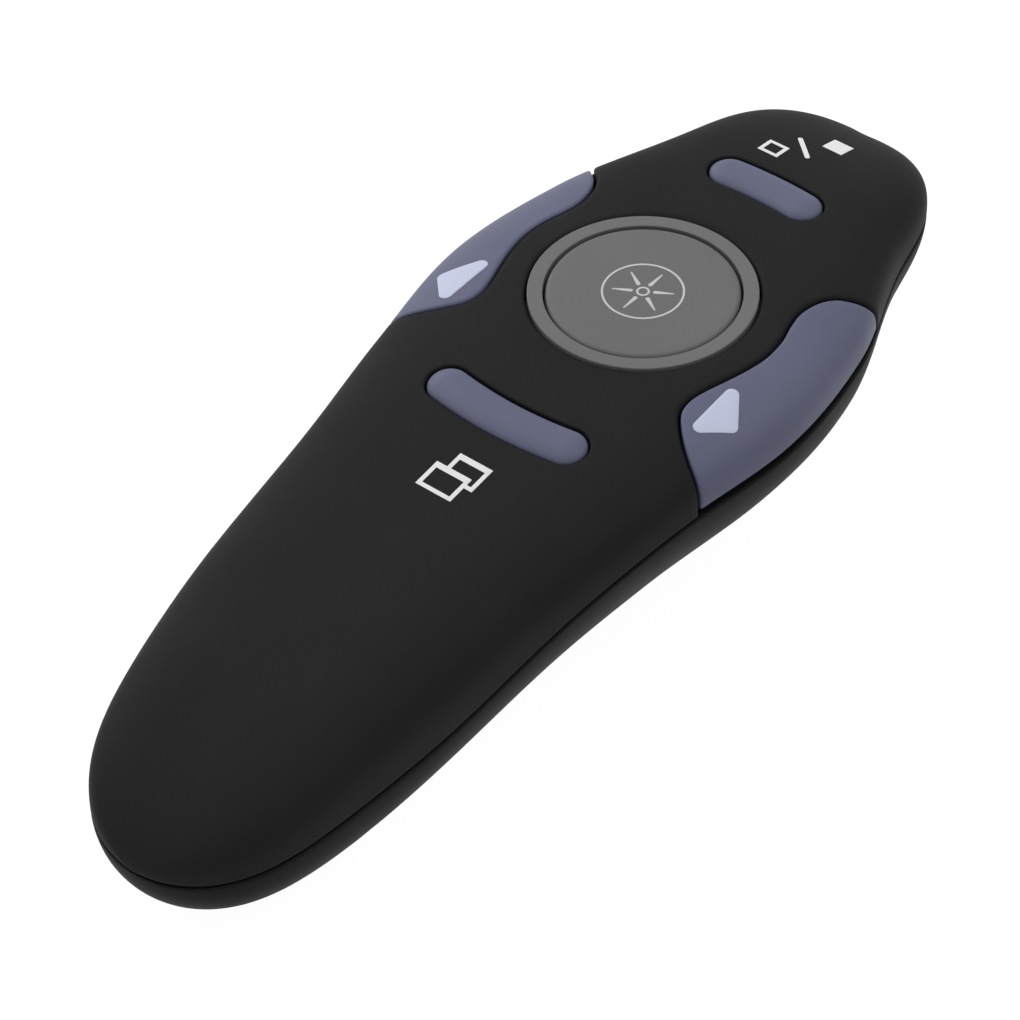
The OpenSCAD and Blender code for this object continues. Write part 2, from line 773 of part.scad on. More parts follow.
// Folded sheet shell with two latch windows on each flat side
module receiver_plug() {
    window = 2.5;
    inner = plug_half - [plug_wall, plug_wall];
    rear = cap_rear - plug_length;
    front = cap_rear + plug_root;
    color([0.78, 0.78, 0.8]) translate([0, 0, plug_z]) difference() {
        box([-plug_half[0], rear, -plug_half[1]], [plug_half[0], front, plug_half[1]]);
        box([-inner[0], rear - 1, -inner[1]], [inner[0], front + 1, inner[1]]);
        for (side = [-1, 1])
            translate([side * 3, cap_rear - 5.2, 0]) cube([window, window, 10], center = true);
    }
}

tongue_half = plug_width / 2 - plug_wall - 0.1;

module receiver_tongue() {
    color([0.9, 0.9, 0.9])
        box([-tongue_half, cap_rear - plug_length + 1, plug_z + 0.1],
            [tongue_half, cap_rear + plug_root, plug_z + plug_half[1] - plug_wall - 0.1]);
}

module receiver_board() {
    half = tongue_half - 0.2;
    thickness = 1;
    color([0.05, 0.3, 0.15])
        box([-half, cap_rear - 4, plug_z - thickness], [half, cap_front - 1.3, plug_z]);
}

// ---------- Fasteners ----------

// A pan-head screw driven upwards, with a cross recess in its head. Its head bears on seat_z.
module screw(seat_z, tip_z) {
    recess = [2.2, 0.5, 0.7];
    head_z = seat_z - screw_head_height;
    difference() {
        union() {
            translate([0, 0, head_z]) cylinder(r = screw_head_radius, h = screw_head_height);
            translate([0, 0, seat_z - tiny]) cylinder(r = screw_radius - 0.05, h = tip_z - seat_z);
        }
        for (turn = [0, 90]) rotate([0, 0, turn])
            translate([-recess[0] / 2, -recess[1] / 2, head_z - tiny]) cube(recess);
    }
}

module case_screws() {
    head_gap = 0.1;
    color([0.6, 0.6, 0.62]) {
        at_screws() screw(screw_seat - head_gap, screw_tip);
        at_tail_screw() screw(tail_screw_seat - head_gap, tail_screw_tip);
    }
}

upper_shell();
lower_shell();
ring_bezel();
laser_button();
previous_button();
next_button();
blank_button();
window_button();
battery_cover();
cell_left();
cell_right();
bridge_contact();
positive_contact();
negative_contact();
tail_spring();
front_spring();
main_board();
tact_switches();
radio_chip();
crystal();
antenna();
slide_switch();
power_knob();
laser_barrel();
laser_lens();
laser_diode();
laser_board();
laser_window();
receiver_cap();
receiver_plug();
receiver_tongue();
receiver_board();
case_screws();
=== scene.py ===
# %% [markdown]
# # A wireless presentation clicker
# A presenter is a slim remote that lies in the palm, with its buttons under the thumb.
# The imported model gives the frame: every size, place and joint comes from there. This
# lesson makes the pieces that one sees, gives every piece its finish, and sets up a plain
# studio. The shells are free-form, so they are lofted as fine smooth skins. The loose CAD
# triangles stay hidden behind them for the physics.

# %% Load the frame
import math

import bmesh
import bpy
from mathutils import Matrix, Vector


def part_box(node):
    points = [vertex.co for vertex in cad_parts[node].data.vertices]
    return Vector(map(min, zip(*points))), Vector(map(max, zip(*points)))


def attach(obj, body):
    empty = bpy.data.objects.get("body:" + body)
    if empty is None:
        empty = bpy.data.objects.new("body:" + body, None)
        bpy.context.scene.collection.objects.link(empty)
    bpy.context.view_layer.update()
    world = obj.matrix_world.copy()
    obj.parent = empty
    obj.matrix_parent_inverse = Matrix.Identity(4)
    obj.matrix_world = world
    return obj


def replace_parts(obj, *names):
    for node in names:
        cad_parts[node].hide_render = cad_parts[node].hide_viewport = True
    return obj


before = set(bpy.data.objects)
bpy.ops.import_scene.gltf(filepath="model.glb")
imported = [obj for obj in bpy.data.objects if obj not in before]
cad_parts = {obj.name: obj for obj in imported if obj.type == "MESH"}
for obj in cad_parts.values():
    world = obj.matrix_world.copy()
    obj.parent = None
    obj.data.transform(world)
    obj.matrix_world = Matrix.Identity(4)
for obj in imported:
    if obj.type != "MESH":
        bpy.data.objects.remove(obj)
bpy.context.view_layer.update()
mm = 0.001

# %% [markdown]
# ## Where the main pieces are
# The trim ring is the natural centre of the top face: both wings and both pills are laid
# out round it. Its box in the frame gives that centre and the height of its top.

# %% Measure the ring
half_length, wall, seam_gap = 52.0, 1.7, 0.34
button_gap, gap_start = 0.22, 0.1  # the gap's width, and where it starts at a wing's edge
ring_proud, ring_flange = 0.15, 1.4  # how far the ring stands up, and its hidden rim

ring_low, ring_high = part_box("ring_bezel")
ring_y = (ring_low.y + ring_high.y) / 2 / mm
ring_top = ring_high.z / mm
ring_plane = ring_top - ring_proud
ring_radius = (ring_high.x - ring_low.x) / 2 / mm - ring_flange
print("ring centre y:", round(ring_y, 3), "mm, radius:", round(ring_radius, 3),
      "mm, top:", round(ring_top, 3), "mm")

# %% [markdown]
# ## The camera
# A long lens from far away, looking down on the top face from ahead of the right side. It
# is described as a product photographer would note it: the direction, the tilt of the
# frame, the distance, and where the trim ring falls in the picture, which is square.

# %% Camera
azimuth, elevation, roll = math.radians(40.29), math.radians(43.87), math.radians(-1.68)
focal_pixels, frame_pixels, ring_depth = 4310.2, 1020, 383.16
ring_pixel = (643, 291.9)

back = Vector((math.sin(azimuth) * math.cos(elevation), -math.cos(azimuth) * math.cos(elevation),
               math.sin(elevation)))
level_right = Vector((math.cos(azimuth), math.sin(azimuth), 0))
level_up = level_right.cross(-back)
right = math.cos(roll) * level_right + math.sin(roll) * level_up
up = -math.sin(roll) * level_right + math.cos(roll) * level_up
to_ring = (-back + (ring_pixel[0] - frame_pixels / 2) / focal_pixels * right
           - (ring_pixel[1] - frame_pixels / 2) / focal_pixels * up)
place = Vector((0, ring_y, ring_plane)) - ring_depth * to_ring

lens = bpy.data.cameras.new("camera")
lens.sensor_width = 36
lens.lens = focal_pixels / frame_pixels * lens.sensor_width
lens.clip_start, lens.clip_end = 0.01, 20
camera = bpy.data.objects.new("camera", lens)
camera.matrix_world = Matrix.Translation(place * mm) @ Matrix((right, up, back)).transposed().to_4x4()
bpy.context.scene.collection.objects.link(camera)
bpy.context.scene.camera = camera
print("camera:", round(lens.lens, 1), "mm lens,", round(place.length), "mm from the origin")

# %% [markdown]
# ## The housing's curves
# A designer draws such a body with a few curves along its length: how wide it is, how high
# the parting line runs, how far the crown rises above it and how deep the belly hangs
# below it. Each curve goes smoothly through a few stations, evenly spaced from the tail to
# the nose. The cross-section is a superellipse, a rounded box whose fullness is one number.

# %% Station curves
half_widths = (16.5, 14.3, 14.4, 15.3, 17.3, 19.3, 18, 15, 17.8)
seam_heights = (7.5, 9.7, 12, 14.8, 17, 17.7, 17.7, 17.8, 17.8)
crown_heights = (7.9, 8.2, 8, 6.7, 5.9, 5.8, 5.9, 6.4, 6.2)
belly_depths = (13.5, 12.8, 13.5, 16.5, 18.5, 18.5, 17.8, 16, 13)
belly_fullness = (2, 2.05, 1.8, 1.6, 1.55, 1.6, 1.8, 1.75, 2.2)
crown_fullness = 4
tail_roundness, nose_roundness = 4, 4.5


def hermite(a, b, slope_a, slope_b, t):
    """Smooth step from a to b that leaves and arrives with the given slopes."""
    return (a * (2 * t**3 - 3 * t**2 + 1) + b * (3 * t**2 - 2 * t**3)
            + slope_a * (t**3 - 2 * t**2 + t) + slope_b * (t**3 - t**2))


def slope_at(values, i):
    low, high = max(0, i - 1), min(len(values) - 1, i + 1)
    return (values[high] - values[low]) / (high - low)


def station(values, y):
    """Value of a station curve at y millimetres along the body."""
    place = (max(-1, min(1, y / half_length)) + 1) / 2 * (len(values) - 1)
    i = max(0, min(len(values) - 2, math.floor(place)))
    return hermite(values[i], values[i + 1], slope_at(values, i), slope_at(values, i + 1), place - i)


def end_round(y, inset=0):
    """Falls to nothing at both ends, so that the outline closes roundly."""
    u = y / (half_length - inset)
    return math.sqrt(max(0, 1 - abs(u) ** (tail_roundness if u < 0 else nose_roundness)))


def half_width(y, inset=0):
    return (station(half_widths, y) - inset) * end_round(y, inset)


def seam_z(y):
    return station(seam_heights, y)


def rise_at(y, side, inset=0):
    """Height of the crown (side 1) or depth of the belly (side -1) from the parting line."""
    return (station(crown_heights if side > 0 else belly_depths, y) - inset) * end_round(y, inset)


def fullness(y, side):
    return crown_fullness if side > 0 else station(belly_fullness, y)


def top_z(x, y, inset=0):
    """Height of the top face over a point of the plan."""
    across = min(1, abs(x) / half_width(y, inset))
    return seam_z(y) + rise_at(y, 1, inset) * (1 - across**crown_fullness) ** (1 / crown_fullness)


print("width at the ring:", round(2 * half_width(ring_y), 2),
      "mm, top there:", round(top_z(0, ring_y), 2), "mm")

# %% [markdown]
# ## A sheet wrapped round a form
# The quickest clean way to a free-form body is a flat grid whose rows are laid onto the
# cross-sections one by one. The grid operator makes all the faces, and the script only says
# where each row goes. Its two long edges meet and are merged, and both ends are filled.

# %% Mesh helpers
merge_distance = 1e-7  # in metres: a ten-thousandth of a millimetre


def as_object(name, bm):
    """Puts a finished bmesh into a new object at the origin."""
    mesh = bpy.data.meshes.new(name)
    bm.to_mesh(mesh)
    bm.free()
    obj = bpy.data.objects.new(name, mesh)
    bpy.context.scene.collection.objects.link(obj)
    return obj


def wrapped(name, rings):
    """Wraps a grid round the rings, which are lists of points in millimetres."""
    count = len(rings[0])
    bm = bmesh.new()
    bmesh.ops.create_grid(bm, x_segments=count, y_segments=len(rings) - 1, size=1)
    for k, vert in enumerate(bm.verts):
        row, column = divmod(k, count + 1)
        vert.co = Vector(rings[row][column % count]) * mm
    bmesh.ops.remove_doubles(bm, verts=bm.verts, dist=merge_distance)
    bmesh.ops.holes_fill(bm, edges=bm.edges, sides=0)
    bmesh.ops.recalc_face_normals(bm, faces=bm.faces)
    return as_object(name, bm)


def stacked(name, levels):
    """Wraps a grid round flat outlines, each at a height: a number, or a function of x and y."""
    return wrapped(name, [[(x, y, z(x, y) if callable(z) else z) for x, y in outline]
                          for outline, z in levels])


def above(surface, lift):
    """A height function that stays a given distance above another one."""
    return lambda x, y: surface(x, y) + lift


def settle(obj):
    """Turns an object's live modifiers into plain mesh."""
    bpy.context.view_layer.update()
    depsgraph = bpy.context.evaluated_depsgraph_get()
    mesh = bpy.data.meshes.new_from_object(obj.evaluated_get(depsgraph))
    obj.modifiers.clear()
    old, obj.data = obj.data, mesh
    bpy.data.meshes.remove(old)
    return obj


def combine(target, *tools, how="DIFFERENCE", keep=False):
    """Cuts, joins or intersects the target with each tool, and drops the tools."""
    for tool in tools:
        modifier = target.modifiers.new("combine", "BOOLEAN")
        modifier.operation, modifier.solver, modifier.object = how, "MANIFOLD", tool
        settle(target)
        if not keep:
            bpy.data.objects.remove(tool)
    return target


def block(low, high):
    """A box between two corners in millimetres, as a tool for combine()."""
    low, high = Vector(low), Vector(high)
    bm = bmesh.new()
    bmesh.ops.create_cube(bm, size=1)
    bmesh.ops.scale(bm, vec=(high - low) * mm, verts=bm.verts)
    bmesh.ops.translate(bm, vec=(high + low) / 2 * mm, verts=bm.verts)
    return as_object("block", bm)


def rod(centre, radius, length, axis="Z", segments=64):
    """A cylinder from centre along +X or +Z, in millimetres."""
    turn = Matrix.Rotation(math.radians(90 if axis == "X" else 0), 4, "Y")
    bm = bmesh.new()
    bmesh.ops.create_cone(bm, cap_ends=True, segments=segments, radius1=radius * mm,
                          radius2=radius * mm, depth=length * mm)
    bmesh.ops.translate(bm, vec=(0, 0, length / 2 * mm), verts=bm.verts)
    bmesh.ops.transform(bm, matrix=Matrix.Translation(Vector(centre) * mm) @ turn, verts=bm.verts)
    return as_object("rod", bm)


def spun(name, profile, steps=128, place=None):
    """Spins a closed profile of (radius, height) points, round the ring's axis or at a place."""
    bm = bmesh.new()
    verts = [bm.verts.new((r * mm, 0, z * mm)) for r, z in profile]
    for a, b in zip(verts, verts[1:] + verts[:1]):
        if a.co.x or b.co.x:
            bm.edges.new((a, b))
    bmesh.ops.spin(bm, geom=bm.verts[:] + bm.edges[:], cent=(0, 0, 0), axis=(0, 0, 1),
                   angle=2 * math.pi, steps=steps, use_merge=True)
    bmesh.ops.remove_doubles(bm, verts=bm.verts, dist=merge_distance)
    bmesh.ops.recalc_face_normals(bm, faces=bm.faces)
    place = place or Matrix.Translation((0, ring_y, 0))
    in_metres = Matrix.Scale(mm, 4) @ place @ Matrix.Scale(1 / mm, 4)
    bmesh.ops.transform(bm, matrix=in_metres, verts=bm.verts)
    return as_object(name, bm)


def mirrored(obj, name):
    """A copy on the other side of the body, with its faces turned the right way round."""
    bm = bmesh.new()
    bm.from_mesh(obj.data)
    bmesh.ops.scale(bm, vec=(-1, 1, 1), verts=bm.verts)
    bmesh.ops.reverse_faces(bm, faces=bm.faces)
    return as_object(name, bm)


def joined(name, parts):
    """Several finished meshes as one piece."""
    bm = bmesh.new()
    for part in parts:
        bm.from_mesh(part.data)
        bpy.data.objects.remove(part)
    return as_object(name, bm)


def soften(obj, width, where=lambda p: True, segments=3, angle=30):
    """Bevels every edge that is sharper than the angle and whose middle passes the test."""
    bm = bmesh.new()
    bm.from_mesh(obj.data)
    edges = [e for e in bm.edges
             if len(e.link_faces) == 2 and e.calc_face_angle(0) > math.radians(angle)
             and where((e.verts[0].co + e.verts[1].co) / 2 / mm)]
    bmesh.ops.bevel(bm, geom=edges, offset=width * mm, offset_type="OFFSET", affect="EDGES",
                    segments=segments, profile=0.5, material=-1, clamp_overlap=True)
    bm.to_mesh(obj.data)
    bm.free()
    return obj


def finish(obj, sharp):
    """Smooth shading with true edges kept, and large faces keeping their own direction."""
    obj.data.shade_smooth()
    obj.data.set_sharp_from_angle(angle=math.radians(sharp))
    modifier = obj.modifiers.new("even shading", "WEIGHTED_NORMAL")
    modifier.keep_sharp = True
    settle(obj)
    print(f"{obj.name}: {len(obj.data.polygons)} faces")
    return obj


def stand_in(piece, node, body, sharp=35):
    """Finishes a piece and puts it in a CAD node's place, on that body."""
    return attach(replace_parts(finish(piece, sharp), node), body)


# %% [markdown]
# Outlines are drawn flat, in millimetres and degrees, out of arcs and straight sides. A side
# has points along it, so that the outline can be laid on a curved face later. Every round
# lip of an opening takes its steps from one quarter circle.

# %% Drawing helpers
def arc(x, y, radius, start, end, steps):
    """Points along an arc, with both its ends."""
    turns = (math.radians(start + (end - start) * k / steps) for k in range(steps + 1))
    return [(x + radius * math.cos(a), y + radius * math.sin(a)) for a in turns]


def circle(radius, centre, count=72):
    return arc(*centre, radius, 0, 360, count)[:-1]


def outline_of(arcs, per_side):
    """Closed outline of arcs that are joined by straight sides."""
    outline = []
    for here, after in zip(arcs, arcs[1:] + arcs[:1]):
        (x, y), (u, v) = here[-1], after[0]
        outline += here + [(x + (u - x) * k / per_side, y + (v - y) * k / per_side)
                           for k in range(1, per_side)]
    return outline


def rounded(half, low, high, corner):
    """A rectangle with round corners, half its width across and from low to high along."""
    corners = ((half - corner, high - corner), (corner - half, high - corner),
               (corner - half, low + corner), (half - corner, low + corner))
    arcs = [arc(x, y, corner, 90 * k, 90 * k + 90, 8) for k, (x, y) in enumerate(corners)]
    return outline_of(arcs, 48)


def capsule(start, end, radius, end_radius=None):
    """A stroke with round ends."""
    (x, y), (u, v) = start, end
    heading = math.degrees(math.atan2(v - y, u - x))
    return outline_of([arc(u, v, end_radius or radius, heading - 90, heading + 90, 12),
                       arc(x, y, radius, heading + 90, heading + 270, 12)], 8)


def lip_steps(radius, angles):
    """How far outwards and downwards a round lip runs at each of the angles."""
    return [(radius * (1 - math.cos(a)), radius * (1 - math.sin(a)))
            for a in map(math.radians, angles)]


print("a circle of 72 points starts at", circle(1, (0, 0))[0])

# %% [markdown]
# ## Half of the housing as a closed form
# Each half is lofted as a closed solid: one ring of points per slice, with a small round on
# the edge along the parting line, as every moulded shell has. The same function with an
# inset gives the hollow inside. Slices bunch up at both ends, where the outline turns fast.

# %% Loft one half
slices, points_across = 150, 96


def half_ring(y, side, inset, from_seam, rounding):
    """Ring of one slice. from_seam is the height at which the flat edge lies."""
    width, rise, n = half_width(y, inset), rise_at(y, side, inset), fullness(y, side)
    from_seam = min(from_seam, 0.6 * rise)
    radius = min(rounding, 0.45 * max(0, rise - from_seam), 0.45 * width)
    start = max(0, from_seam + radius)
    edge_x = width * (1 - (start / rise) ** n) ** (1 / n)
    corner = [(edge_x, from_seam)]
    if rounding:
        corner = [(edge_x - radius + radius * math.sin(a), from_seam + radius - radius * math.cos(a))
                  for a in (math.radians(22.5 * k) for k in range(5))]
    first = math.atan2(start / rise, edge_x / width)
    skin = []
    for k in range(1, points_across) if start > 0 else range(points_across + 1):
        a = first + (math.pi - 2 * first) * k / points_across
        c, s = math.cos(a), abs(math.sin(a))
        reach = (abs(c) ** n + s**n) ** (-1 / n)
        skin.append((width * reach * c, rise * reach * s))
    ring = corner + skin + [(-x, z) for x, z in reversed(corner)]
    return [(x, y, seam_z(y) + side * z) for x, z in ring]


def half_form(name, side, inset=0.0, from_seam=0.0, rounding=0.0, floor=None):
    """Closed loft of the upper (side 1) or lower (side -1) half, cut flat at the floor."""
    turns = (math.radians(1 + 178 * k / slices) for k in range(slices + 1))
    places = (-(half_length - inset) * math.cos(a) for a in turns)
    obj = wrapped(name, [half_ring(y, side, inset, from_seam, rounding) for y in places])
    if floor is not None:
        bm = bmesh.new()
        bm.from_mesh(obj.data)
        bmesh.ops.bisect_plane(bm, geom=bm.verts[:] + bm.edges[:] + bm.faces[:], dist=merge_distance,
                               plane_co=(0, 0, floor * mm), plane_no=(0, 0, 1), clear_inner=True)
        bmesh.ops.holes_fill(bm, edges=bm.edges, sides=0)
        bm.to_mesh(obj.data)
        bm.free()
    return obj


print("one slice at the ring has", len(half_ring(ring_y, 1, 0, 0, 0)), "points")

# %% [markdown]
# ## Outlines on the top face
# The wings' inner edge is one smooth line through listed points, and both pills are
# short bars bent round the ring. All are drawn flat, as a plan, and laid on the crown later.

# %% Outlines in plan
wing_edge = [Vector(p) for p in (
    (17.6, 17.5), (16.7, 15.4), (16.05, 13.9), (15.65, 12.7), (14.8, 11.75), (13.55, 10.55),
    (12.7, 9.1), (12.3, 7.4), (12.3, 6), (12.65, 4.35), (13.15, 2.5), (13.35, 0.1),
    (13.05, -2.15), (12.5, -4.3), (11.85, -6.45), (11.5, -8), (11.5, -9.2), (11.8, -10.3),
    (12.7, -11.5), (14.4, -13.1), (16.4, -14.4), (18.2, -15), (20.5, -15.3))]
last_point = len(wing_edge) - 1
long_pill_half, short_pill_half, pill_half_width, pill_bend = 6.5, 4.0, 1.95, 41.0
long_pill_y, short_pill_y = ring_y - ring_radius - 9.5, ring_y + ring_radius + 8.15
long_pill, short_pill = (long_pill_half, -1, long_pill_y), (short_pill_half, 1, short_pill_y)


def on_wing_edge(t):
    """Point at t of the smooth line through the wing's edge points."""
    i = max(0, min(last_point - 1, math.floor(t)))
    a, b, c, d = (wing_edge[max(0, min(last_point, i + k))] for k in (-1, 0, 1, 2))
    return hermite(b, c, (c - a) / 2, (d - b) / 2, t - i)


def wing_point(t, grow):
    """Point of the right wing's inner edge at t, moved outwards by grow."""
    along = on_wing_edge(min(last_point, t + 0.01)) - on_wing_edge(max(0, t - 0.01))
    p = on_wing_edge(t) + grow * Vector((-along.y, along.x)).normalized()
    return p.x, p.y + ring_y


def pill_outline(half, side, y0, grow):
    """Outline of a bent pill whose middle is at y0. side is 1 ahead of the ring."""
    w, turn = max(0.01, pill_half_width + grow), math.degrees(math.asin(half / pill_bend))
    end_y = pill_bend * math.cos(math.radians(turn))
    points = (arc(0, 0, pill_bend + w, 90 + turn, 90 - turn, 36)
              + arc(half, end_y, w, 90 - turn, -90 - turn, 24)[1:-1]
              + arc(0, 0, pill_bend - w, 90 - turn, 90 + turn, 36)
              + arc(-half, end_y, w, 270 + turn, 90 + turn, 24)[1:-1])
    return [(x, y0 + side * (y - pill_bend)) for x, y in points]


print("wing edge beside the ring at x =", round(wing_point(11, 0)[0], 2), "mm")

# %% [markdown]
# ## Tools that cut the openings
# A cut with a knife edge looks computer-made. Every real opening has a small round lip, so
# each cutting tool flares out where it leaves the surface. The lip then comes out of the
# cut itself, and the light catches it.

# %% Cutting tools
slot_lip, shell_lip, wing_lip, hole_lip = 0.2, 0.45, 0.3, 0.4
lip_angles = (0, 20, 40, 60, 75)
flare, flare_rise = 0.5, 0.13  # how a tool widens above its lip, well clear of the skin


def slot_tool(*pill):
    """Cuts a pill's slot: straight below, flaring round at the crown."""
    levels = [(button_gap, -5.0), (button_gap, -slot_lip)]
    levels += [(button_gap + out, -down) for out, down in lip_steps(slot_lip, lip_angles[1:])]
    levels += [(levels[-1][0] + flare, z) for z in (flare_rise, 1.5)]
    return stacked("slot tool", [
        (pill_outline(*pill, grow), above(top_z, lift)) for grow, lift in levels])


def wing_path(grow):
    """The wing's edge on the housing's surface, from the front tip to the rear tip."""
    def crossing(target, inside, outside):
        for _ in range(50):
            middle = (inside + outside) / 2
            x, y = wing_point(middle, grow)
            inside, outside = (middle, outside) if x / half_width(y) < target else (inside, middle)
        return inside

    n, start, end = crown_fullness, 6, 16
    heights = (0.0001, 0.06, 0.12, 0.2, 0.28, 0.36, 0.44, 0.52, 0.6, 0.68, 0.75, 0.81, 0.86)
    reaches = [(1 - z**n) ** (1 / n) for z in heights]
    front = [crossing(reach, start, 0) for reach in reaches]
    rear = [crossing(reach, end, last_point) for reach in reaches]
    middle = [front[-1] + (rear[-1] - front[-1]) * k / 150 for k in range(1, 150)]
    flat = [wing_point(t, grow) for t in front + middle + rear[::-1]]
    path = [Vector((x, y, top_z(x, y))) for x, y in flat]
    below = Vector((0, 0, -2.5))
    return [path[0] + below] + path + [path[-1] + below]


def outward_at(x, y, z, d=0.05):
    """Direction that points out of the top face."""
    def level(x, y, z):
        up = max(0, z - seam_z(y)) / rise_at(y, 1)
        return (abs(x) / half_width(y)) ** crown_fullness + up**crown_fullness

    return Vector((level(x + d, y, z) - level(x - d, y, z), level(x, y + d, z) - level(x, y - d, z),
                   level(x, y, z + d) - level(x, y, z - d))).normalized()


def lip_flank(lip):
    """Half the section of a groove that gives one edge of the gap a round lip of that radius."""
    half_gap = button_gap / 2
    flank = [(half_gap - 0.015, -lip - 0.06)]
    flank += [(half_gap + out, -down) for out, down in lip_steps(lip, lip_angles)]
    return flank + [(flank[-1][0] + flare, z) for z in (flare_rise, 0.9)]


def lip_groove():
    """A flared groove along the right wing's gap, with a broad round on the shell's side."""
    profile = lip_flank(shell_lip) + [(-u, v) for u, v in reversed(lip_flank(wing_lip))]
    path = wing_path(gap_start + button_gap / 2)
    rings = []
    for before, p, after in zip(path[:1] + path, path, path[1:] + path[-1:]):
        along = (after - before).normalized()
        out = outward_at(*p)
        out = (out - along * out.dot(along)).normalized()
        beside = along.cross(out)
        rings.append([p + beside * u + out * v for u, v in profile])
    return wrapped("lip groove", rings)


def wing_prism(grow):
    """Everything outside the right wing's inner edge, right through the body."""
    outline = [wing_point(last_point * k / 240, grow) for k in range(241)]
    outline += [(26, ring_y - 16), (26, ring_y + 18)]
    return stacked("wing prism", [(outline, z) for z in (-5, 40)])


print("the lip groove follows", len(wing_path(gap_start)), "points")

# %% [markdown]
# ## Upper shell
# The upper shell is one moulding with a round hole, two bent slots and a bite on each flank
# for the wings. It is cut out of the closed form, which keeps its wall true everywhere. A
# narrow shelf behind each bite closes the view into the housing through the wing's gap, as
# the labyrinth edges of real housings do against dust and light.

# %% Places of the screws and the pointer
edge_round, tower_radius, pilot_radius = 0.22, 2.4, 0.95
rim_outer, hole_gap = ring_radius + 0.1, 0.18
flange_top, board_top = ring_plane - 1.9, ring_plane - 6.8
board_bottom = board_top - 1
screw_y, tail_screw = half_length - 16.5, (0, 8 - half_length)
front_screws = ((9.6, screw_y), (-9.6, screw_y))
front_screw_tip, tail_screw_tip = ring_plane - 3.6, seam_z(tail_screw[1]) + 2.6
towers = [(x, y, board_top + 0.1, front_screw_tip) for x, y in front_screws]
towers.append((*tail_screw, seam_z(tail_screw[1]) + 0.2, tail_screw_tip))
pointer_z, window_back, opening_radius = ring_plane - 6.7, half_length - 3.2, 3.0


def nose_y(x, z):
    """Where the nose's skin lies ahead of a point."""
    low, high = 40.0, half_length
    for _ in range(40):
        y = (low + high) / 2
        side = 1 if z > seam_z(y) else -1
        n, rise = fullness(y, side), rise_at(y, side)
        inside = y < half_length - 0.001 and (
            (abs(x) / half_width(y)) ** n + (abs(z - seam_z(y)) / rise) ** n < 1)
        low, high = (y, high) if inside else (low, y)
    return low


def nose_ring(radius, inset=0.0, ahead=None):
    """A circle round the pointer's axis, laid on the nose's skin or on a flat place ahead."""
    return [(x, nose_y(x, z) - inset if ahead is None else ahead, z)
            for x, z in circle(radius, (0, pointer_z), 96)]


def nose_opening():
    """Cuts the pointer's round window opening, with a small lip that follows the nose."""
    lip = [nose_ring(opening_radius + out, depth)
           for out, depth in ((0, 0.2), (0.03, 0.1), (0.1, 0.03), (0.2, 0))]
    return wrapped("nose opening", [nose_ring(opening_radius, ahead=window_back), *lip,
                                    nose_ring(opening_radius + 0.2, ahead=60)])


def band(outer, inner, begin, end):
    """A layer under the crown, between two insets, that only follows the right wing's edge."""
    layer = half_form("band", 1, inset=outer, from_seam=0.3)
    combine(layer, half_form("hollow", 1, inset=inner, from_seam=-1))
    combine(layer, wing_prism(gap_start + begin), how="INTERSECT")
    return combine(layer, wing_prism(gap_start + end))


print("nose at the pointer's height: y =", round(nose_y(0, pointer_z), 2), "mm")

# %% Upper shell
shell_top = half_form("upper_shell_skin", 1, from_seam=seam_gap / 2, rounding=edge_round)
hollow = half_form("hollow", 1, inset=wall, from_seam=-1)
for x, y, foot, _ in towers:
    combine(hollow, rod((x, y, foot), tower_radius, 30, segments=48))
prism, groove = wing_prism(gap_start), lip_groove()
combine(shell_top, hollow, mirrored(prism, "left prism"), prism, mirrored(groove, "left groove"))
combine(shell_top, groove, keep=True)

shelf_outer, shelf_inner, riser_outer = 2.0, 2.6, 1.5  # insets of the shelf and its riser
shelf = combine(band(shelf_outer, shelf_inner, -1.0, 0.9),
                band(riser_outer, shelf_inner, -1.0, -0.3), how="UNION")
combine(shell_top, mirrored(shelf, "left shelf"), shelf, how="UNION")
combine(shell_top, slot_tool(*long_pill), slot_tool(*short_pill))

hole_radius, bore_start = rim_outer + hole_gap, 10
hole = [(0, 5), (hole_radius, 5)]
hole += [(hole_radius + out, ring_plane - down)
         for out, down in lip_steps(hole_lip, (0, 18, 36, 54, 72))]
hole += [(hole_radius + 1, ring_plane + 0.25), (hole_radius + 1, 40), (0, 40)]
combine(shell_top, spun("hole", hole),
        rod((0, ring_y, bore_start), ring_radius + ring_flange + 0.2, flange_top + 0.1 - bore_start,
            segments=128))
for x, y, _, tip in towers:
    combine(shell_top, rod((x, y, 0), pilot_radius, tip + 0.4, segments=32))
combine(shell_top, nose_opening())
stand_in(shell_top, "upper_shell", "housing")

# %% [markdown]
# ## The wings
# On the real clicker each wing is a rocker that continues the housing's skin, so it is cut
# from the same form as the shell, with a thinner wall, and its outline stands off by the
# gap. The left wing is the mirror image of the right one.

# %% Wings with their posts
post_bottom, post_radius = board_top + 1.0, 1.1
wing_lift, wing_wall, wing_round = 0.8, 1.4, 0.18
wing_switch = (ring_radius + 3.85, ring_y - 7)


def post(x, y, top):
    """The leg under a key that presses its dome switch."""
    return rod((x, y, post_bottom), post_radius, top - post_bottom, segments=48)


right_wing = half_form("next_wing", 1, from_seam=wing_lift, rounding=wing_round)
combine(right_wing, half_form("hollow", 1, inset=wing_wall, from_seam=-1))
combine(right_wing, wing_prism(gap_start + button_gap), how="INTERSECT")
combine(right_wing, groove)
combine(right_wing, post(*wing_switch, top_z(*wing_switch, wing_wall) + 0.4), how="UNION")
left_wing = mirrored(right_wing, "previous_wing")
stand_in(right_wing, "next_button", "next_key")
stand_in(left_wing, "previous_button", "previous_key")

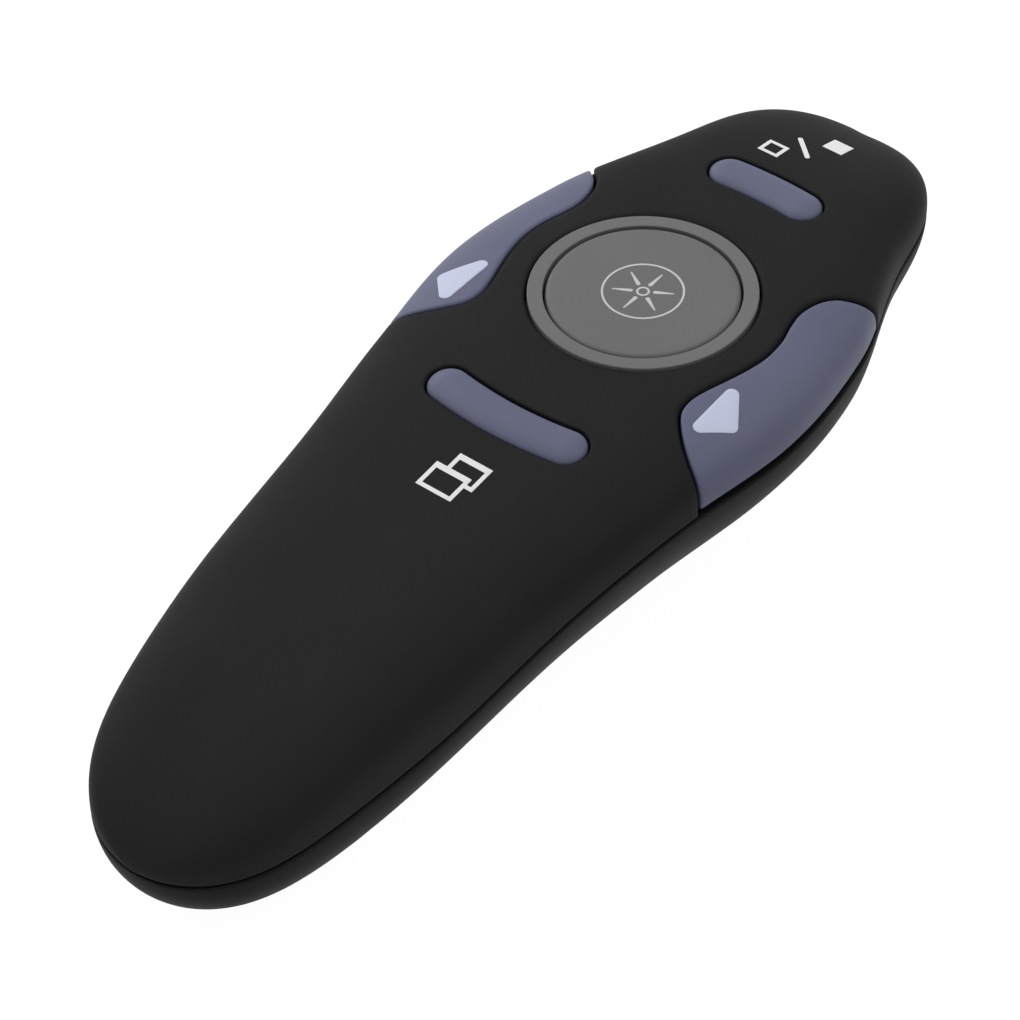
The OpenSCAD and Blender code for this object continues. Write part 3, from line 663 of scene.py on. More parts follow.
# %% [markdown]
# ## The pills
# The two pills are low cushions that stand half a millimetre proud of the crown. Their
# rings are the outline drawn smaller and smaller, each lifted a little more, so the flank
# starts steeply at the slot, turns over in a tight shoulder and is nearly flat on top.

# %% Pills
pill_rise, pill_edge, pill_flange, cushion_steps = 0.46, -0.35, 0.8, 18


def pill(name, half, side, y0):
    """A cushion that follows the crown, with a hidden flange and a post."""
    def shape(name, levels):
        return stacked(name, [(pill_outline(half, side, y0, grow), z) for grow, z in levels])

    across, along = pill_half_width + pill_flange, half + pill_half_width + pill_flange
    flange = min(top_z(along, y0 + d * across, wall) for d in (-1, 1)) - 0.15
    levels = [(0, flange - 0.4)]
    for k in range(cushion_steps + 1):
        inwards = (pill_half_width - 0.04) * (k / cushion_steps) ** 2.2
        shoulder = (1 - (1 - inwards / pill_half_width) ** 2.2) ** (1 / 1.8)
        levels.append((-inwards, above(top_z, pill_edge + (pill_rise - pill_edge) * shoulder)))
    foot = [(pill_flange - inwards, flange - depth)
            for inwards, depth in ((0.1, 0.8), (0, 0.7), (0, 0.1), (0.1, 0))]
    return combine(shape(name, levels), shape("foot", foot), post(0, y0, flange - 0.4), how="UNION")


stand_in(pill("window_pill", *long_pill), "window_button", "window_key")
stand_in(pill("blank_pill", *short_pill), "blank_button", "blank_key")

# %% [markdown]
# ## Trim ring and round key
# Both are turned parts in the mould maker's eyes, so one profile is spun round the ring's
# axis. The visible corners then get a real radius with the bevel operator, because it is
# these small rounds that draw the bright and dark circles round the key.

# %% Ring and key
rim_inner, skirt, flange_depth = ring_radius - 1.3, ring_radius - 0.4, 0.9
flange_bottom, flange_outer = flange_top - flange_depth, ring_radius + ring_flange
trim = spun("trim_ring", [
    (rim_inner, flange_top - 0.1), (skirt, flange_top - 0.1), (skirt, flange_bottom),
    (flange_outer, flange_bottom), (flange_outer, flange_top), (rim_outer, flange_top),
    (rim_outer, ring_top), (rim_inner, ring_top)])
soften(trim, 0.1, lambda p: p.z > ring_top - 0.1)
stand_in(trim, "ring_bezel", "housing", sharp=50)

key_radius, key_top = rim_inner - 0.2, ring_top - 0.04
dish_radius, dish = key_radius - 1.2, 0.06
key_flange_top, key_flange_outer = flange_top - 0.3, skirt - 0.2
key_bottom = key_flange_top - flange_depth
key = spun("round_key", [
    (0, key_bottom), (key_flange_outer, key_bottom), (key_flange_outer, key_flange_top),
    (key_radius, key_flange_top), (key_radius, key_top), (dish_radius, key_top), (0, key_top - dish)])
soften(key, 0.45, lambda p: p.z > key_top - 0.05, segments=6, angle=50)
combine(key, post(0, ring_y, key_flange_top - 0.5), how="UNION")
stand_in(key, "laser_button", "laser_key", sharp=50)

# %% [markdown]
# ## Printed marks
# The marks are pad printed: a layer of ink a few hundredths of a millimetre thick. Each one
# is a thin solid that follows the face it is printed on. A filled mark shrinks its outline
# to its middle in steps, and a frame is a flat ribbon that runs once round.

# %% Ink helpers
ink_sink, ink_lift = -0.03, 0.02


def key_face(x, y):
    """Height of the round key's shallow dish."""
    out = math.hypot(x, y - ring_y)
    return key_top - dish * max(0, 1 - out / dish_radius)


def filled_mark(outline, face=top_z):
    """A filled patch of ink with the given outline."""
    cx, cy = (sum(p[i] for p in outline) / len(outline) for i in (0, 1))
    levels = [(0.01, ink_sink), (1, ink_sink), (1, ink_lift / 2), (0.985, ink_lift)]
    levels += [(s, ink_lift) for s in (0.75, 0.5, 0.25, 0.01)]
    return stacked("ink", [([(cx + (x - cx) * scale, cy + (y - cy) * scale) for x, y in outline],
                            above(face, lift)) for scale, lift in levels])


def inset_outline(outline, distance):
    """The same outline moved inwards. It runs anticlockwise, and its points match one to one."""
    points, moved = [Vector(p) for p in outline], []
    for before, p, after in zip(points[-1:] + points, points, points[1:] + points[:1]):
        n1, n2 = (Vector((-v.y, v.x)).normalized() for v in (p - before, after - p))
        n = (n1 + n2).normalized()
        moved.append(tuple(p + n * distance / max(0.3, n.dot(n1))))
    return moved


def frame_mark(outline, stroke, face=top_z):
    """A ribbon of ink along a closed convex outline, with its stroke inside the outline."""
    rings = []
    for (x, y), (u, v) in zip(outline, inset_outline(outline, stroke)):
        across = ((x, y, ink_sink), (x, y, ink_lift), ((x + u) / 2, (y + v) / 2, ink_lift),
                  (u, v, ink_lift), (u, v, ink_sink))
        rings.append([(a, b, face(a, b) + lift) for a, b, lift in across])
    return wrapped("ink", rings + rings[:1])


print("the ink stands", ink_lift, "mm proud, and the dish of the round key is", dish, "mm deep")

# %% [markdown]
# The window pill carries two windows, one in front of the other; the short pill a blank and
# a filled screen with a stroke between them; the wings an arrowhead each. The round key has
# a spot of light with rays, which is a generic sign for a pointer.

# %% Marks
def box_outline(x0, y0, x1, y1):
    return outline_of([[(x0, y0)], [(x1, y0)], [(x1, y1)], [(x0, y1)]], 6)


side_bar, top_bar = 0.42, 0.6
x0, y0, x1, y1 = -1.5, -12.82, 2.37, -9.86  # the window in front
u0, v0, u1, v1 = -0.38, -10.98, 3.24, -8.05  # the window behind
window_icon = joined("window_icon", [filled_mark(box_outline(*corners)) for corners in (
    (x0, y0, x0 + side_bar, y1 - top_bar), (x1 - side_bar, y0, x1, y1 - top_bar),
    (x0 + side_bar, y0, x1 - side_bar, y0 + side_bar), (x0, y1 - top_bar, x1, y1),
    (u0, y1 + 0.001, u0 + side_bar, v1 - top_bar), (u0, v1 - top_bar, u1, v1),
    (u1 - side_bar, v0 + side_bar, u1, v1 - top_bar), (x1 + 0.001, v0, u1, v0 + side_bar))])
blank_icon = joined("blank_icon", [
    frame_mark(box_outline(-4.2, 39.6, -2.0, 41.65), 0.38),
    filled_mark(capsule((-2.35, 43.8), (0.0, 41.65), 0.24)),
    filled_mark(box_outline(-0.2, 44.3, 1.95, 46.35))])

arrow_corners, arrow_round, arrow_step = ((14.1, -5.57), (14.25, -10.32), (16.1, -8.37)), 0.63, 0.5


def arrow_outline():
    """Arrowhead with round corners, beside the ring."""
    corners = [Vector(p) + Vector((0, ring_y)) for p in arrow_corners]
    points = []
    for before, p, after in zip(corners[-1:] + corners, corners, corners[1:] + corners[:1]):
        first, last = (math.degrees(math.atan2(v.y, v.x)) - 90 for v in (p - before, after - p))
        points += arc(p.x, p.y, arrow_round, first, first + (last - first) % 360, 8)
    outline = []
    for p, q in zip(map(Vector, points), map(Vector, points[1:] + points[:1])):
        steps = max(1, round((q - p).length / arrow_step))
        outline += [tuple(p.lerp(q, i / steps)) for i in range(steps)]
    return outline


next_arrow = filled_mark(arrow_outline())
next_arrow.name = "next_arrow"
previous_arrow = mirrored(next_arrow, "previous_arrow")

stroke, middle = 0.2, Vector((0, ring_y))
rays = []
for k in range(6):
    a = math.radians(60 * k + 30)
    out = Vector((math.cos(a), math.sin(a)))
    rays.append(filled_mark(capsule(middle + 1.1 * out, middle + 2.75 * out, stroke, 0.07), key_face))
pointer_mark = joined("pointer_mark", rays + [
    frame_mark(circle(radius, middle, count), stroke, key_face)
    for radius, count in ((3.75, 72), (0.62, 36))])

for obj, body, ink_slot in (
        (window_icon, "housing", "shell_top"), (blank_icon, "housing", "shell_top"),
        (next_arrow, "next_key", "button_blue"), (previous_arrow, "previous_key", "button_blue"),
        (pointer_mark, "laser_key", "button_grey")):
    finish(obj, sharp=60)
    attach(obj, body)

# %% [markdown]
# ## Lower shell
# The lower shell is a tray. Its belly follows the station curves, and a low faired plinth
# round the receiver's dock gives the front a flat rest. Inside it has the battery bay's end
# walls, screw towers, ledges for the board and the lugs of the door's hinge. These ribs are
# first taken out of the hollow form, so that one cut leaves the wall and all ribs together.
# A low tongue stands inside the parting line and a thin curtain behind each wing's lower
# edge, so that neither gap lets light or a look through.

# %% Outlines and openings underneath
door_half, door_rear, door_front, door_corner = 11.05, -38.1, 9.1, 2.5


def under_z(x, y, floor=0.0):
    """Height of the belly's skin at a point of the plan."""
    across, n = min(1, abs(x) / half_width(y)), fullness(y, -1)
    return max(floor, seam_z(y) - rise_at(y, -1) * (1 - across**n) ** (1 / n))


def flat_opening(outline_at, floor, lip, top):
    """Cuts a hole into a flat underside, with a small round lip."""
    levels = [(0.0, top), (0.0, floor + lip)]
    levels += [(out, floor + down) for out, down in lip_steps(lip, (30, 60, 90))]
    levels.append((lip, floor - 3))
    return stacked("opening", [(outline_at(grow), z) for grow, z in levels])


def door_tool(grow, lip, top, outwards, floor=0.0):
    """The door's outline as a block that flares (outwards 1) or narrows (-1) at the belly's skin."""
    def level(out, z):
        g = grow + out
        return rounded(door_half + g, door_rear - g, door_front + g, door_corner + g), z

    def skin(x, y):
        return under_z(x, y, floor)

    levels = [level(0, top)]
    levels += [level(outwards * out, above(skin, down))
               for out, down in lip_steps(lip, (0, 30, 60, 80))]
    if outwards > 0:
        levels += [level(lip + 0.35, above(skin, -0.15)), level(lip + 0.35, -4)]
    else:
        levels.append((levels[-1][0], -1))
    return stacked("door tool", levels)


def flank_slot(y0, y1, z0, z1, corner, lip=0.18):
    """Cuts the power switch's slot through the left flank, with a small lip on its outside."""
    def skin(y, z):
        n = fullness(y, -1)
        return half_width(y) * (1 - ((seam_z(y) - z) / rise_at(y, -1)) ** n) ** (1 / n)

    def ring(grow, x_at):
        outline = rounded((z1 - z0) / 2 + grow, y0 - grow, y1 + grow, corner + grow)
        points = [(y, (z0 + z1) / 2 + across) for across, y in outline]
        return [(x_at(y, z), y, z) for y, z in points]

    rings = [ring(0, lambda y, z: -8), ring(0, lambda y, z: lip - skin(y, z))]
    rings += [ring(out, lambda y, z: down - skin(y, z)) for out, down in lip_steps(lip, (30, 60, 80))]
    return wrapped("flank slot", rings + [ring(lip, lambda y, z: -22)])


def side_block(side, low, high):
    """A block on the right (side 1), or its mirror image on the left (-1)."""
    left, right = sorted((side * low[0], side * high[0]))
    return block((left, *low[1:]), (right, *high[1:]))


print("belly height at the door's side:", round(under_z(door_half, 0), 2), "mm")

# %% Lower shell
bay_rear, bay_front, hinge = -37, 10.7, (10.6, 2.2)
dock_half, dock_rear, dock_front = 7.4, 14.1, 32.5
screw_seat, tail_seat, head_recess, shank_hole = board_bottom - 4.5, 2.6, 2.1, 1.15
tongue_inset, tongue_rise = 0.9, 0.1
curtain_outer, curtain_inner, curtain_rise, foot_outer = 1.8, 2.4, 1.4, 1.6
wing_rear, wing_front = ring_y - 13.2, ring_y + 11.9

shell_bottom = half_form("lower_shell_skin", -1, from_seam=seam_gap / 2, rounding=edge_round, floor=0)
tongue = half_form("tongue", -1, inset=tongue_inset, from_seam=-tongue_rise, floor=0.5)
combine(shell_bottom, tongue, how="UNION")
plinth_levels = (
    (-0.12, 0), (0.02, 0.08), (0.12, 0.25), (0.55, 1.05), (1.04, 2), (1.62, 3), (2.6, 4.6))
plinth = stacked("plinth", [
    (rounded(8.6 + out, 12.9 - out, 33.7 + out, 1.6 + out), z) for out, z in plinth_levels])
combine(shell_bottom, plinth, how="UNION")

ribs = [rod((x, y, 0), tower_radius, board_bottom, segments=48) for x, y in front_screws]
ribs += [
    rod((*tail_screw, 0), tower_radius, seam_z(tail_screw[1]) - 0.2, segments=48),
    block((-30, bay_rear - 1.6, 0), (30, bay_rear - 0.4, seam_z(bay_rear) - 0.3)),
    block((-30, bay_front + 0.4, 4), (30, bay_front + 1.6, board_bottom - 0.4)),
    block((-dock_half - 1.2, dock_rear - 1.2, 0), (dock_half + 1.2, dock_front + 1.2, 8.3))]
for side in (-1, 1):
    ribs.append(side_block(side, (10.6, -5.4, board_bottom - 3), (16.6, -3.6, board_bottom)))
    ribs.append(side_block(side, (6.25, bay_front - 1.5, 0), (8.45, bay_front + 1.3, 3.6)))
combine(shell_bottom, combine(half_form("hollow", -1, inset=wall, from_seam=-1, floor=wall), *ribs))

combine(shell_bottom, door_tool(0, 0.2, 8.5, 1),
        block((-6.25, 7.6, -1), (6.25, hinge[0] + 1.35, 3.6)),
        rod((-7.5, *hinge), 0.55, 15, "X", 32))
combine(shell_bottom,
        flat_opening(lambda g: rounded(dock_half + g, dock_rear - g, dock_front + g, 0.3 + g),
                     0, 0.25, 7.1),
        flat_opening(lambda g: circle(2.4 + g, (0, dock_front)), 0, 0.25, 1.7))
for x, y in front_screws:
    combine(shell_bottom, rod((x, y, -1), shank_hole, 30, segments=32),
            rod((x, y, -1), head_recess, screw_seat + 1, segments=48))
combine(shell_bottom, rod((*tail_screw, -1), shank_hole, 30, segments=32),
        flat_opening(lambda g: circle(head_recess + g, tail_screw), 0, 0.2, tail_seat))

curtain = combine(half_form("curtain", -1, inset=curtain_outer, from_seam=-curtain_rise, floor=5),
                  half_form("foot", -1, inset=foot_outer, floor=5), how="UNION")
combine(curtain, half_form("hollow", -1, inset=curtain_inner, from_seam=-2, floor=4))
curtains = [side_block(side, (10, wing_rear, board_top + 0.2), (25, wing_front, 30))
            for side in (-1, 1)]
for piece in curtains:
    combine(piece, curtain, how="INTERSECT", keep=True)
bpy.data.objects.remove(curtain)
combine(shell_bottom, *curtains, how="UNION")
combine(shell_bottom, nose_opening(), flank_slot(ring_y - 2.3, ring_y + 5.3, 12.2, 14.6, 0.5))
stand_in(shell_bottom, "lower_shell", "housing")

# %% [markdown]
# ## Battery door
# The door continues the belly's skin, so it is cut from the same form, with its own thinner
# wall. It turns on a roll with two pins at its front end, and four short grooves at the tail
# end tell the thumb where to pull.

# %% Battery door
door_floor, door_wall, grooves = 0.35, 1.5, 4
door = half_form("battery_door", -1, floor=door_floor)
combine(door, half_form("hollow", -1, inset=door_wall, from_seam=-1, floor=door_floor + door_wall))
combine(door, door_tool(-0.25, 0.2, 8.0, -1, door_floor), how="INTERSECT")
combine(door, block((-6, 7.6, 1.15), (6, hinge[0], 2.65)), rod((-6, *hinge), 1.05, 12, "X", 48),
        rod((-7.4, *hinge), 0.5, 14.8, "X", 32), how="UNION")
for y in (-34.7 + 1.6 * k for k in range(grooves)):
    combine(door, flat_opening(lambda g: capsule((-4.6, y), (4.6, y), 0.4 + g),
                               door_floor, 0.12, door_floor + 0.4))
stand_in(door, "battery_cover", "door")

# %% [markdown]
# ## Small parts that keep their shape
# Sheet metal, moulded caps and the sliding knob already have the right shape in the frame,
# but their edges are knife sharp. A copy of the mesh is merged, its coplanar faces are
# dissolved, and every edge gets a small real round with the bevel operator.

# %% Softened parts
def softened(node, name, width, body):
    """A finer piece in a node's place: its own shape with small rounds on all its edges."""
    bm = bmesh.new()
    bm.from_mesh(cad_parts[node].data)
    bmesh.ops.remove_doubles(bm, verts=bm.verts, dist=1e-6)
    bmesh.ops.dissolve_limit(bm, angle_limit=math.radians(1), verts=bm.verts, edges=bm.edges)
    stand_in(soften(as_object(name, bm), width), node, body)


softened("power_knob", "power_slider", 0.12, "power_slider")
softened("receiver_cap", "receiver_body", 0.14, "receiver")
softened("receiver_plug", "usb_shell", 0.07, "receiver")
softened("receiver_tongue", "usb_tongue", 0.08, "receiver")
for end in ("bridge", "positive", "negative"):
    softened(end + "_contact", end + "_plate", 0.1, "housing")
softened("tact_switches", "dome_switches", 0.12, "housing")
softened("radio_chip", "radio_package", 0.06, "housing")
softened("crystal", "crystal_can", 0.15, "housing")
softened("slide_switch", "slide_switch_body", 0.12, "housing")

# %% [markdown]
# ## Cells and springs
# An AAA cell is a drawn steel can in a shrunk sleeve, crimped over at both ends, with a nub
# at the plus end. It is a turned part, so one profile is spun. A spring is its wire's
# circle, carried along a helix: one ring of points every few degrees.

# %% Cells and springs
cell_x, cell_z, cell_length, spring_length = 5.25, 9.5, 44.2, 3.5
flat_end = [(0, 0.12), (3.3, 0.12), (3.7, 0), (4.5, 0), (4.8, 0.09), (5.02, 0.3), (5.1, 0.6)]
crimp = [(5.1, 42.7), (5.02, 43.0), (4.8, 43.22), (4.45, 43.3), (4.2, 43.28), (4.05, 43.1)]
nub_end = [(3.6, 43.0), (1.95, 43.0), (1.85, 43.1), (1.85, 43.8), (1.75, 44.05), (1.5, 44.18),
           (1.2, cell_length), (0, cell_length)]


def cell(name, node, x, foot, towards):
    """A cell whose plus end points to the nose (1) or to the tail (-1)."""
    turn = Matrix.Rotation(math.radians(-90 * towards), 4, "X")
    place = Matrix.Translation((x, foot, cell_z)) @ turn
    made = spun(name, flat_end + crimp + nub_end, steps=96, place=place)
    return stand_in(made, node, "housing", sharp=50)


def coil(name, node, x, foot):
    """A battery spring along +Y: three turns of wire between its two end margins."""
    wire, radius, turns, per_turn, margin = 0.3, 2.8, 3, 40, 0.02
    climb = (spring_length - 2 * margin - 2 * wire) / turns
    rings = []
    for k in range(turns * per_turn + 1):
        a = 2 * math.pi * k / per_turn
        out = Vector((math.cos(a), 0, math.sin(a)))
        centre = Vector((x, foot + margin + wire + climb * k / per_turn, cell_z)) + radius * out
        rings.append([centre + u * out + Vector((0, v, 0)) for u, v in circle(wire, (0, 0), 14)])
    stand_in(wrapped(name, rings), node, "housing", sharp=60)


left_cell = cell("left_cell", "cell_left", -cell_x, bay_front - cell_length, 1)
right_cell = cell("right_cell", "cell_right", cell_x, bay_rear + cell_length, -1)
coil("tail_coil", "tail_spring", -cell_x, bay_rear)
coil("front_coil", "front_spring", cell_x, bay_front - spring_length)

# %% [markdown]
# ## Screws and the nose window
# A case screw is turned too: a pan head, a shank with rings for its thread, and a cross cut
# into the head by two blocks. The window is a clear red plug whose front follows the nose's
# skin a quarter of a millimetre behind it, with a small round all along its edge.

# %% Screws and window
def case_screw(x, y, seat, tip):
    """A pan head screw that points up, with thread rings and a cross in its head."""
    head, core, crest = seat - 1.5, 0.72, 0.9
    profile = [(r, head + z) for r, z in (
        (0, 0), (1.1, 0.02), (1.55, 0.14), (1.82, 0.42), (1.9, 0.75), (1.9, 1.4),
        (crest, 1.4), (crest, 2.0))]
    z = head + 2.2
    while z < tip - 0.7:
        profile += [(core, z), (crest, z + 0.2)]
        z += 0.4
    profile += [(0.6, tip - 0.3), (0.25, tip), (0, tip)]
    made = spun("screw", profile, steps=48, place=Matrix.Translation((x, y, 0)))
    return combine(made, *(block((x - u, y - v, head - 0.1), (x + u, y + v, head + 0.7))
                           for u, v in ((1.1, 0.25), (0.25, 1.1))))


screws = [case_screw(x, y, screw_seat, front_screw_tip) for x, y in front_screws]
screws.append(case_screw(*tail_screw, tail_seat, tail_screw_tip))
stand_in(joined("case_screw_set", screws), "case_screws", "housing")

plug_radius, sunk = 2.9, 0.25  # of the window's clear plug, and how far it lies behind the skin
rings = [nose_ring(radius, ahead=window_back + ahead)
         for radius, ahead in ((0.02, 0.1), (plug_radius - 0.1, 0.1), (plug_radius, 0.2))]
rings += [nose_ring(plug_radius - inwards, sunk + depth)
          for inwards, depth in ((0, 0.22), (0.04, 0.1), (0.13, 0.02))]
rings += [nose_ring(plug_radius * step, sunk) for step in (0.9, 0.75, 0.6, 0.45, 0.3, 0.15, 0.007)]
stand_in(wrapped("nose_window", rings), "laser_window", "housing")

# %% [markdown]
# ## Finishes
# Every finish is made of nodes on Object coordinates, which are metres here, so a grain can
# be given its real size. Moulded plastic has a fine spark-eroded texture, a slow drift in
# gloss where hands have polished it, and hardly any change of colour.

# %% Node helpers
def rgb(*levels):
    """A colour picked on a screen, 0 to 255, as the linear values that shaders want."""
    shares = [max(0, min(255, v)) / 255 for v in levels]
    return (*(v / 12.92 if v <= 0.0404 else ((v + 0.055) / 1.055) ** 2.4 for v in shares), 1.0)


def shades(colour, darker, lighter):
    """The two ends of a colour's drift."""
    return rgb(*(c - darker for c in colour)), rgb(*(c + lighter for c in colour))


class Finish:
    """A material with its nodes, built up step by step."""

    def __init__(self, name, roughness=0.5, metallic=0.0, **sockets):
        self.material = bpy.data.materials.new(name)
        self.material.use_nodes = True
        self.tree = self.material.node_tree
        self.shader = self.tree.nodes["Principled BSDF"]
        for socket, value in dict(Roughness=roughness, Metallic=metallic, **sockets).items():
            self.shader.inputs[socket.replace("_", " ")].default_value = value
        self.place = self.tree.nodes.new("ShaderNodeTexCoord").outputs["Object"]

    def node(self, kind, **settings):
        made = self.tree.nodes.new("ShaderNode" + kind)
        for key, value in settings.items():
            setattr(made, key, value)
        return made

    def link(self, source, target):
        self.tree.links.new(source, target)
        return self

    def noise(self, size, detail=2.0, stretch=(1, 1, 1)):
        """Noise whose blotches are about that many millimetres across."""
        noise, mapping = self.node("TexNoise"), self.node("Mapping")
        noise.inputs["Scale"].default_value = 1 / (size * mm)
        noise.inputs["Detail"].default_value = detail
        mapping.inputs["Scale"].default_value = stretch
        self.link(self.place, mapping.inputs["Vector"])
        self.link(mapping.outputs["Vector"], noise.inputs["Vector"])
        return noise.outputs["Fac"]

    def ramp(self, source, *stops):
        """Colours along a value: stops are (place, colour)."""
        ramp = self.node("ValToRGB")
        while len(ramp.color_ramp.elements) < len(stops):
            ramp.color_ramp.elements.new(0.5)
        for element, (place, colour) in zip(ramp.color_ramp.elements, stops):
            element.position, element.color = place, colour
        self.link(source, ramp.inputs["Fac"])
        return ramp.outputs["Color"]

    def between(self, source, low, high, start=0.3, end=0.7):
        """A value that goes from low to high while the source goes from start to end."""
        rescale = self.node("MapRange")
        for socket, value in (("From Min", start), ("From Max", end),
                              ("To Min", low), ("To Max", high)):
            rescale.inputs[socket].default_value = value
        self.link(source, rescale.inputs["Value"])
        return rescale.outputs["Result"]

    def colour(self, source):
        return self.link(source, self.shader.inputs["Base Color"])

    def gloss(self, source):
        return self.link(source, self.shader.inputs["Roughness"])

    def relief(self, source, depth):
        """A bump of that many millimetres."""
        bump = self.node("Bump")
        bump.inputs["Distance"].default_value = depth * mm
        bump.inputs["Strength"].default_value = 1.0
        self.link(source, bump.inputs["Height"])
        return self.link(bump.outputs["Normal"], self.shader.inputs["Normal"])


def dress(material, *names):
    """Gives each piece that one material. A CAD node keeps its slot, which is only repainted."""
    for name in names:
        obj = bpy.data.objects[name]
        if not obj.material_slots:
            obj.data.materials.append(material)
        for slot in obj.material_slots:
            slot.material = material
    print(material.name, "on", *names)


def moulded(name, colour, drift, roughness, grain, depth, specular):
    """Moulded plastic: the tool's spark-eroded grain, and a slow drift of tone and gloss."""
    finish = Finish(name, Specular_IOR_Level=specular)
    dark, light = shades(colour, drift, drift)
    finish.colour(finish.ramp(finish.noise(14, 3), (0.35, dark), (0.65, light)))
    finish.gloss(finish.between(finish.noise(6, 4), *roughness))
    finish.relief(finish.noise(grain, 2), depth)
    return finish.material


# %% [markdown]
# The top shell is matt black with a soft touch, which reflects less than bare plastic does.
# The keys are a grey with some blue in it, slightly satin. The ring and the round key share
# one warm dark grey, and the ink is a shade lighter on each key. A row gives the colour and
# its drift, the range of roughness, the grain's size and depth in millimetres, and how
# strongly the surface reflects. The receiver, the chip and the dome switches are moulded too.

# %% Plastics
for *look, pieces in (
        ("soft_touch_black", (31, 31, 32), 1, (0.55, 0.62), 0.22, 0.004, 0.06, ["upper_shell_skin"]),
        ("matt_black", (26, 26, 27), 1, (0.55, 0.62), 0.3, 0.006, 0.05,
         ["lower_shell_skin", "battery_door"]),
        ("key_blue_grey", (93, 95, 118), 2, (0.46, 0.54), 0.16, 0.003, 0.2,
         ["next_wing", "previous_wing", "window_pill", "blank_pill"]),
        ("ring_grey", (104, 104, 104), 1.5, (0.42, 0.5), 0.14, 0.002, 0.2, ["trim_ring"]),
        ("key_grey", (101, 101, 101), 1.5, (0.46, 0.54), 0.14, 0.002, 0.2, ["round_key"]),
        ("white_ink", (224, 224, 224), 4, (0.5, 0.6), 0.1, 0.002, 0.5, ["window_icon", "blank_icon"]),
        ("lilac_ink", (188, 193, 217), 3, (0.5, 0.6), 0.1, 0.002, 0.5,
         ["next_arrow", "previous_arrow"]),
        ("grey_ink", (190, 190, 190), 4, (0.5, 0.6), 0.1, 0.002, 0.5, ["pointer_mark"]),
        ("knob_dark", (52, 52, 54), 2, (0.42, 0.5), 0.12, 0.002, 0.35, ["power_slider"]),
        ("receiver_black", (28, 28, 29), 1.5, (0.4, 0.5), 0.12, 0.002, 0.5, ["receiver_body"]),
        ("package_black", (20, 20, 21), 2, (0.5, 0.62), 0.08, 0.002, 0.5, ["radio_package"]),
        ("switch_black", (34, 34, 36), 2, (0.4, 0.5), 0.1, 0.002, 0.5, ["dome_switches"]),
        ("tongue_white", (214, 214, 210), 3, (0.4, 0.5), 0.15, 0.002, 0.5, ["usb_tongue"])):
    dress(moulded(*look), *pieces)

# %% [markdown]
# Metal shows how it was worked: sheet has faint lines along its rolling direction, turned
# brass has rings round its axis, and plated wire is smooth. Stretching a noise along one
# direction gives all of these, as a change of gloss and a bump of a thousandth of a millimetre.

# %% Metals
def worked_metal(name, colour, stretch, roughness, size, depth):
    finish = Finish(name, metallic=1.0)
    lines = finish.noise(size, 3, stretch)
    dark, light = shades(colour, 8, 6)
    finish.colour(finish.ramp(finish.noise(3, 3), (0.3, dark), (0.7, light)))
    finish.gloss(finish.between(lines, *roughness))
    finish.relief(lines, depth)
    return finish.material


plates = ["bridge_plate", "positive_plate", "negative_plate", "crystal_can", "slide_switch_body"]
for *look, pieces in (
        ("nickel_sheet", (196, 195, 190), (1, 8, 0.08), (0.25, 0.4), 0.25, 0.002, plates),
        ("plug_nickel", (196, 196, 200), (6, 0.08, 6), (0.2, 0.34), 0.25, 0.002, ["usb_shell"]),
        ("spring_nickel", (200, 200, 197), (1, 1, 1), (0.14, 0.24), 0.25, 0.001,
         ["tail_coil", "front_coil"]),
        ("zinc_plate", (142, 143, 147), (1, 1, 1), (0.3, 0.45), 0.15, 0.002, ["case_screw_set"]),
        ("turned_brass", (196, 164, 98), (0.1, 8, 0.1), (0.22, 0.36), 0.25, 0.002,
         ["laser_barrel", "laser_diode"]),
        ("bare_copper", (198, 128, 84), (1, 1, 1), (0.3, 0.42), 0.25, 0.001, ["antenna"])):
    dress(worked_metal(*look), *pieces)

# %% [markdown]
# The sleeve of a cell is a printed film: plain green with a silver-grey band at the plus
# end, so that one can tell the ends apart. The band is placed by the coordinate along the
# body, and the bare steel of both ends is a second material on the faces inside the crimp.

# %% Cell sleeves
def sleeve(name, plus_y, towards):
    """Printed film with its band at the plus end, which lies at plus_y."""
    finish = Finish(name, metallic=0.6, Coat_Weight=0.3, Coat_Roughness=0.15)
    tone, band_tone, soft, reach = rgb(36, 86, 72), rgb(168, 172, 170), 0.06, 50
    start, end = sorted((plus_y - towards * 1, plus_y - towards * 10.5))
    split = finish.node("SeparateXYZ")
    finish.link(finish.place, split.inputs["Vector"])
    place = finish.between(split.outputs["Y"], 0, 1, -reach * mm, reach * mm)
    stops = ((start - soft, tone), (start + soft, band_tone),
             (end - soft, band_tone), (end + soft, tone))
    finish.colour(finish.ramp(place, *(
        ((y + reach) / (2 * reach), colour) for y, colour in stops)))
    finish.gloss(finish.between(finish.noise(2, 3), 0.24, 0.34))
    finish.relief(finish.noise(1.2, 2, (1, 0.3, 1)), 0.006)
    return finish.material


can_steel = worked_metal("can_steel", (188, 188, 186), (1, 1, 1), (0.2, 0.32), 0.4, 0.002)
sleeve_radius = 4.2  # inside this the crimp ends, and the can is bare
for made, plus_y, towards in ((left_cell, bay_front, 1), (right_cell, bay_rear, -1)):
    dress(sleeve(made.name + "_sleeve", plus_y, towards), made.name)
    made.data.materials.append(can_steel)
    for face in made.data.polygons:
        centre = face.center / mm
        out = math.hypot(centre.x - math.copysign(cell_x, centre.x), centre.z - cell_z)
        face.material_index = 0 if out > sleeve_radius else 1
print("cell faces in bare steel:", sum(f.material_index for f in left_cell.data.polygons))

# %% [markdown]
# Solder mask is a green lacquer over copper: the traces show as slightly lighter, raised
# lines. A Voronoi pattern on distances between cells gives such a net of lines. The window
# is polished red plastic with some depth, and the lens is clear.

